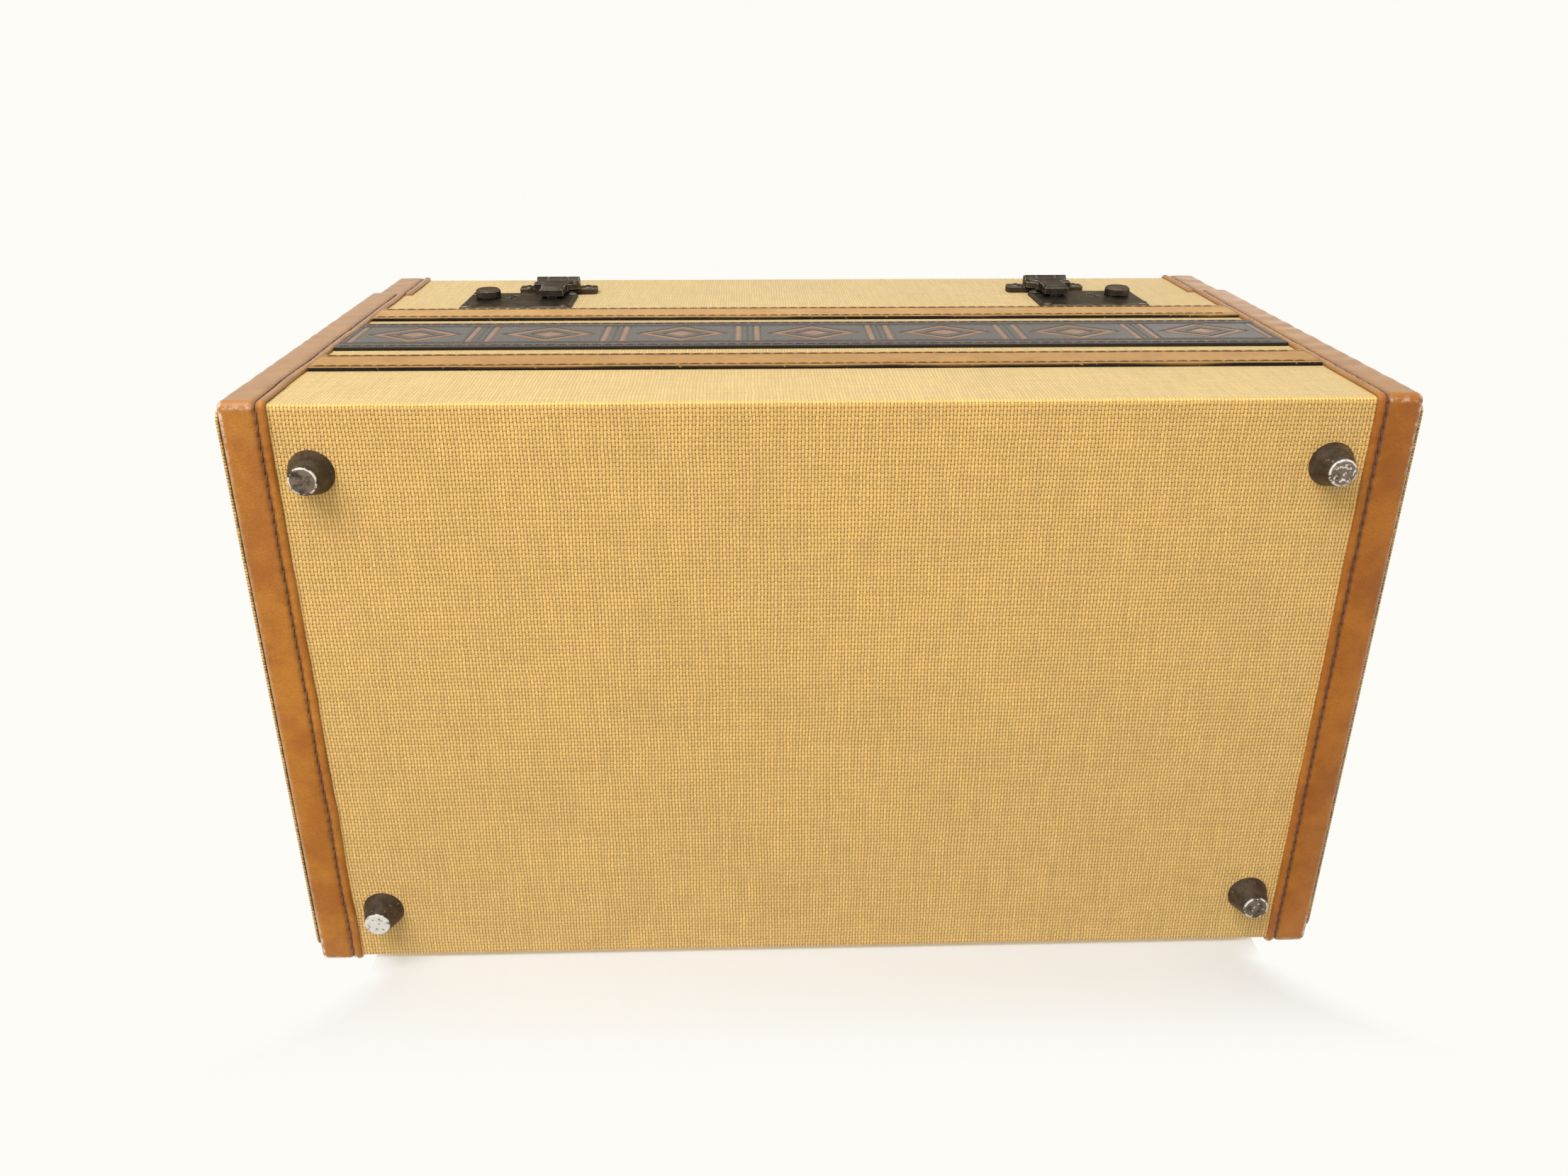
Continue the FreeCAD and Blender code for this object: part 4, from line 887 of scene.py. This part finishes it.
def trim_strip(node, material, sewing, rng):
    """Pale leather strip with dyed edges, sewn along both edges."""
    low, high = corners(node)
    length, thick, height = high - low
    near, far = trim_edges(height, thick)
    middle = [(height * f, thick + 0.07) for f in (0.3, 0.5, 0.7)]
    stations = np.linspace(0, length, int(length / STRIP_STEP))
    s, a, h = section_grid(stations, near + middle + far)
    seed = SEED + low[2] * 0.1
    raised = h > 0.2
    a = a + raised * 0.16 * ripple(s, np.zeros_like(s), 30.0, seed)
    h = h + raised * 0.05 * ripple(s, a, 8.0, seed + 3)
    dyed, groove = trim_marks(a, height)
    attributes = {"dyed": dyed.ravel(), "pressed": groove.ravel()}
    shells = [sweep(trim_place(low, high), stations, a, h)]
    piece(node + "_leather", shells, material, "body", [node], attributes)
    sew_trim(node, sewing, rng)


def lozenges(x, w):
    """Pressed lines and slate share of a row of nested lozenges between triple bars."""
    repeat, half_long, half_high = 46.0, 15.5, 11.0
    bar_from, bar_to = 18.6, 21.0
    middle, inner = 0.70, 0.40
    local = (x + repeat / 2) % repeat - repeat / 2
    level = np.abs(local) / half_long + np.abs(w) / half_high
    slope = math.hypot(1 / half_long, 1 / half_high)
    line = np.zeros_like(x)
    for ring in (1.0, middle, inner):
        line = np.maximum(line, np.exp(-(((level - ring) / slope) / 0.42) ** 2))
    inside = np.abs(w) < half_high + 0.3
    for bar in (bar_from, bar_to, repeat / 2):
        line = np.maximum(line, inside * np.exp(-((np.abs(local) - bar) / 0.42) ** 2))
    for border in (half_high + 0.9, half_high + 2.4):
        line = np.maximum(line, np.exp(-((np.abs(w) - border) / 0.38) ** 2))
    brown = ((level > middle) & (level < 1.0)) | (level < inner)
    brown |= (np.abs(local) > bar_from) & (np.abs(local) < bar_to) & inside
    return line, np.where(brown, 0.0, 1.0)


def embossed_band(material, sewing, rng):
    """Wide band with a pressed row of lozenges, sewn along both edges."""
    node = "embossed_band"
    low, high = corners(node)
    length, thick, height = high - low
    near, far = trim_edges(height, thick)
    field = np.linspace(near[-1][0] + 0.4, far[0][0] - 0.4, BAND_ROWS)
    outline = near + [(a, thick + 0.04) for a in field] + far
    stations = np.linspace(0, length, int(length / BAND_STEP))
    s, a, h = section_grid(stations, outline)
    line, slate = lozenges(s - length / 2, a - height / 2)
    in_field = (a > field[0] - 0.3) & (a < field[-1] + 0.3)
    line = line * in_field
    h = h - BAND_PRESS * line
    dyed, groove = trim_marks(a, height)
    attributes = {"dyed": dyed.ravel(), "pressed": np.maximum(groove * 0.8, line).ravel(),
                  "slate": np.where(in_field, slate, 1.0).ravel()}
    shells = [sweep(trim_place(low, high), stations, a, h)]
    piece(node + "_leather", shells, material, "body", [node], attributes)
    sew_trim(node, sewing, rng)


def grip_seam(sewing, rng):
    """Stitching on both faces of the handle, near its inner edge."""
    low, high = corners("handle_grip")
    middle_z = (low[2] + high[2]) / 2
    half_thick = (high[2] - low[2]) / 2
    reach_x, reach_y = high[:2] - GRIP_HALF_WIDE
    arch = Wrap((0, -reach_x, low[1] + GRIP_END), (0, reach_x, reach_y), 1, GRIP_BEND_R)
    rows = []
    for face in (1, -1):
        def place(s, a, h):
            x, y, out_x, out_y = arch.at(s)
            turn = GRIP_SEAM_TURN + a / GRIP_HALF_WIDE
            normal_in, normal_up = np.cos(turn) / GRIP_HALF_WIDE, np.sin(turn) / half_thick
            lift = h / np.hypot(normal_in, normal_up)
            inward = GRIP_HALF_WIDE * np.cos(turn) + lift * normal_in
            up = half_thick * np.sin(turn) + lift * normal_up
            return x - out_x * inward, y - out_y * inward, middle_z + face * up
        rows += stitches(rng, place, arch.length, across=0.0, sit=0.22, slant=GRIP_SLANT)
    piece("handle_grip_stitches", rows, sewing, "handle")


def finish_nodes(finishes):
    """Give every CAD node the material for its name, or else for its slot."""
    slots = {part["node"]: part["material_slot"] for part in frame["record"]["subparts"]}
    for name, node in frame["nodes"].items():
        node.data.materials.clear()
        node.data.materials.append(finishes.get(name) or finishes[slots[name]])


def fade_round(half_x, half_y, reach):
    """Fade with the distance from a rectangle."""
    def fade(shader, across, along):
        m = shader.math
        out_x = m("MAXIMUM", m("SUBTRACT", across, half_x), 0.0)
        out_y = m("MAXIMUM", m("SUBTRACT", along, half_y), 0.0)
        return shader.step(shader.hypot(out_x, out_y), 0.05 * reach, reach)
    return fade


def fade_below(half_x, reach):
    """Fade with the distance below an edge, and sideways in a wedge that opens from the ends of that edge."""
    wedge_inset, wedge_start, wedge_slope = 12, 10.0, 1.1

    def fade(shader, across, along):
        m = shader.math
        beside = m("DIVIDE", m("SUBTRACT", across, half_x - wedge_inset), m("ADD", along, wedge_start))
        return m("MAXIMUM", shader.step(along, 0.05 * reach, reach), shader.step(beside, 0.0, wedge_slope))
    return fade


def floor(name, centre, normal, up, outline, fade):
    """Pale floor, seen from its front side only, in the backdrop's colour without shadows where fade is 1."""
    shader = Shader(name)
    m = shader.math
    back = shader.add("ShaderNodeNewGeometry").outputs["Backfacing"]
    shown = m("MULTIPLY", shader.seen(), m("SUBTRACT", 1.0, back))
    across, along, _ = shader.split(shader.place())
    lit = shader.add("ShaderNodeBsdfDiffuse", inputs={"Color": FLOOR})
    plain = shader.add("ShaderNodeEmission", inputs={"Color": BACKDROP, "Strength": 1.0})
    surface = shader.blend(fade(shader, m("ABSOLUTE", across), m("ABSOLUTE", along)), lit, plain)
    clear = shader.add("ShaderNodeBsdfTransparent")
    mesh = bpy.data.meshes.new(name)
    mesh.from_pydata([(x * MM, y * MM, 0) for x, y in outline], [], [tuple(range(len(outline)))])
    mesh.materials.append(shader.done(shader.blend(shown, clear, surface)))
    made = bpy.data.objects.new(name, mesh)
    normal, up = Vector(normal), Vector(up)
    side = up.cross(normal)
    made.matrix_world = Matrix((side, up, normal)).transposed().to_4x4()
    made.matrix_world.translation = Vector(centre) * MM
    bpy.context.scene.collection.objects.link(made)


def lamp(name, place, target, size, power):
    """Soft rectangular lamp in metres and watts, aimed at a target."""
    light = bpy.data.lights.new(name, "AREA")
    light.shape = "RECTANGLE"
    light.size, light.size_y = size
    light.energy = power
    made = bpy.data.objects.new(name, light)
    made.location = place
    made.rotation_mode = "QUATERNION"
    made.rotation_quaternion = (Vector(target) - Vector(place)).to_track_quat("-Z", "Y")
    made.visible_camera = False
    bpy.context.scene.collection.objects.link(made)


def world():
    """Pale backdrop to the camera and in reflections, and a soft even light otherwise."""
    shader = Shader("studio", of_world=True)
    soft = shader.add("ShaderNodeBackground", inputs={"Color": SOFT_LIGHT, "Strength": WORLD_LIGHT})
    plain = shader.add("ShaderNodeBackground", inputs={"Color": BACKDROP})
    bpy.context.scene.world = shader.done(shader.blend(shader.seen(), soft, plain))


def camera():
    """Camera of the photograph: before and below the case, which lies on its back there."""
    focal_px, wide_px = 1723.7, 2212
    stand = Vector((-23.6, -195.9, -334.9))
    right = Vector((0.99953, -0.00189, -0.03071))
    down = Vector((-0.01096, 0.91082, -0.41268))
    ahead = Vector((0.02875, 0.41282, 0.91037))
    data = bpy.data.cameras.new("camera")
    data.sensor_fit = "HORIZONTAL"
    data.sensor_width = 36.0
    data.lens = focal_px / wide_px * data.sensor_width
    data.clip_start = 0.01
    made = bpy.data.objects.new("camera", data)
    made.matrix_world = Matrix((right, -down, -ahead)).transposed().to_4x4()
    made.matrix_world.translation = stand * MM
    bpy.context.scene.collection.objects.link(made)
    bpy.context.scene.camera = made


# Materials
body_cloth = canvas("body_canvas", body_low, body_high, -1)
lid_cloth = canvas("lid_canvas", lid_low, lid_high, 1)
end_cloth = canvas("end_canvas", binding_low, binding_high)
lid_end_cloth = canvas("lid_end_canvas", lid_binding_low, lid_binding_high)
tan = leather("binding_leather", TAN, TAN_DEEP)
# Painted shade: the right bindings are a darker copy of the left ones' leather, for light that falls from the
# left.
right_tan_painted_shade = leather("right_binding_leather_painted_shade", RIGHT_TAN_PAINTED_SHADE, RIGHT_TAN_DEEP_PAINTED_SHADE, coat=0.2)
pale = leather("strip_leather", STRIP, STRIP_DEEP, gloss=0.58, coat=0.0)
paler = leather("upper_strip_leather", UPPER_STRIP, UPPER_STRIP_DEEP, gloss=0.58, coat=0.0)
handle_tan = leather("handle_leather", TAN, TAN_DEEP, attributes=False)
metal = antique_metal("antique_metal")
bronze = antique_metal("bronze_knob", KNOB_BRONZE, 0.3)
dark_thread = thread("dark_thread", THREAD)
brown_thread = thread("brown_thread", THREAD_PALE)

finish_nodes({
    "body_canvas": body_cloth, "lid_canvas": lid_cloth, "woven_canvas": end_cloth,
    "left_lid_panel": lid_end_cloth, "right_lid_panel": lid_end_cloth,
    "binding_leather": tan, "strip_leather": pale, "band_leather": tan, "handle_leather": handle_tan,
    "antique_metal": metal, "left_lock_knob": bronze, "right_lock_knob": bronze,
    "foot_metal": foot_metal(), "lining_cloth": lining_cloth(), "board_wood": board_wood(),
    "mirror_glass": mirror_glass(), "spring_steel": spring_steel(),
})

# Leather pieces
random_draws = np.random.default_rng(SEED)
body_wrap = Wrap(body_low, body_high, -1)
lid_wrap = Wrap(lid_low, lid_high, 1)
for side, hide in ((-1, tan), (1, right_tan_painted_shade)):
    binding(side, "body", body_wrap, binding_low, binding_high, hide, dark_thread, random_draws)
    binding(side, "lid", lid_wrap, lid_binding_low, lid_binding_high, hide, dark_thread, random_draws)
for strip, material in (("lower_trim_strip", pale), ("upper_trim_strip", paler)):
    trim_strip(strip, material, brown_thread, random_draws)
embossed_band(band_leather(), dark_thread, random_draws)
grip_seam(dark_thread, random_draws)

# Stage, light and camera
half_case = binding_high[:2]
near_side = [(-FLOOR_REACH, -FLOOR_REACH), (FLOOR_REACH, -FLOOR_REACH)]
far_side = [(FLOOR_REACH, FLOOR_REACH), (-FLOOR_REACH, FLOOR_REACH)]
floor("floor", (0, 0, 0), (0, 0, 1), (0, 1, 0), near_side + far_side, fade_round(*half_case, FLOOR_FADE))

# In the photograph the case lies on this surface, which reaches up a little way behind it
behind_x = body_high[0] - BEHIND_INSET
behind_z = body_low[2] + BEHIND_RISE
floor("backdrop", (0, half_case[1] + BEHIND_GAP, 0), (0, -1, 0), (0, 0, 1),
      near_side + [(FLOOR_REACH, 0), (behind_x, 0), (behind_x, behind_z), (-behind_x, behind_z),
                   (-behind_x, 0), (-FLOOR_REACH, 0)], fade_below(behind_x + 1, BEHIND_FADE))
world()
lamp("key", place=(-0.45, -1.20, -0.55), target=(0, 0, 0.08), size=(0.9, 0.7), power=16.4)
lamp("front_low", place=(-0.35, -0.35, -1.35), target=(0, 0, 0.05), size=(1.3, 1.0), power=5.8)
lamp("top", place=(0.75, 0.45, 1.25), target=(0, 0, 0.1), size=(1.2, 1.2), power=13.0)
lamp("back", place=(-0.4, 1.5, 0.55), target=(0, 0, 0.1), size=(1.2, 1.2), power=10.0)
camera()

bpy.context.scene.view_settings.view_transform = "Standard"
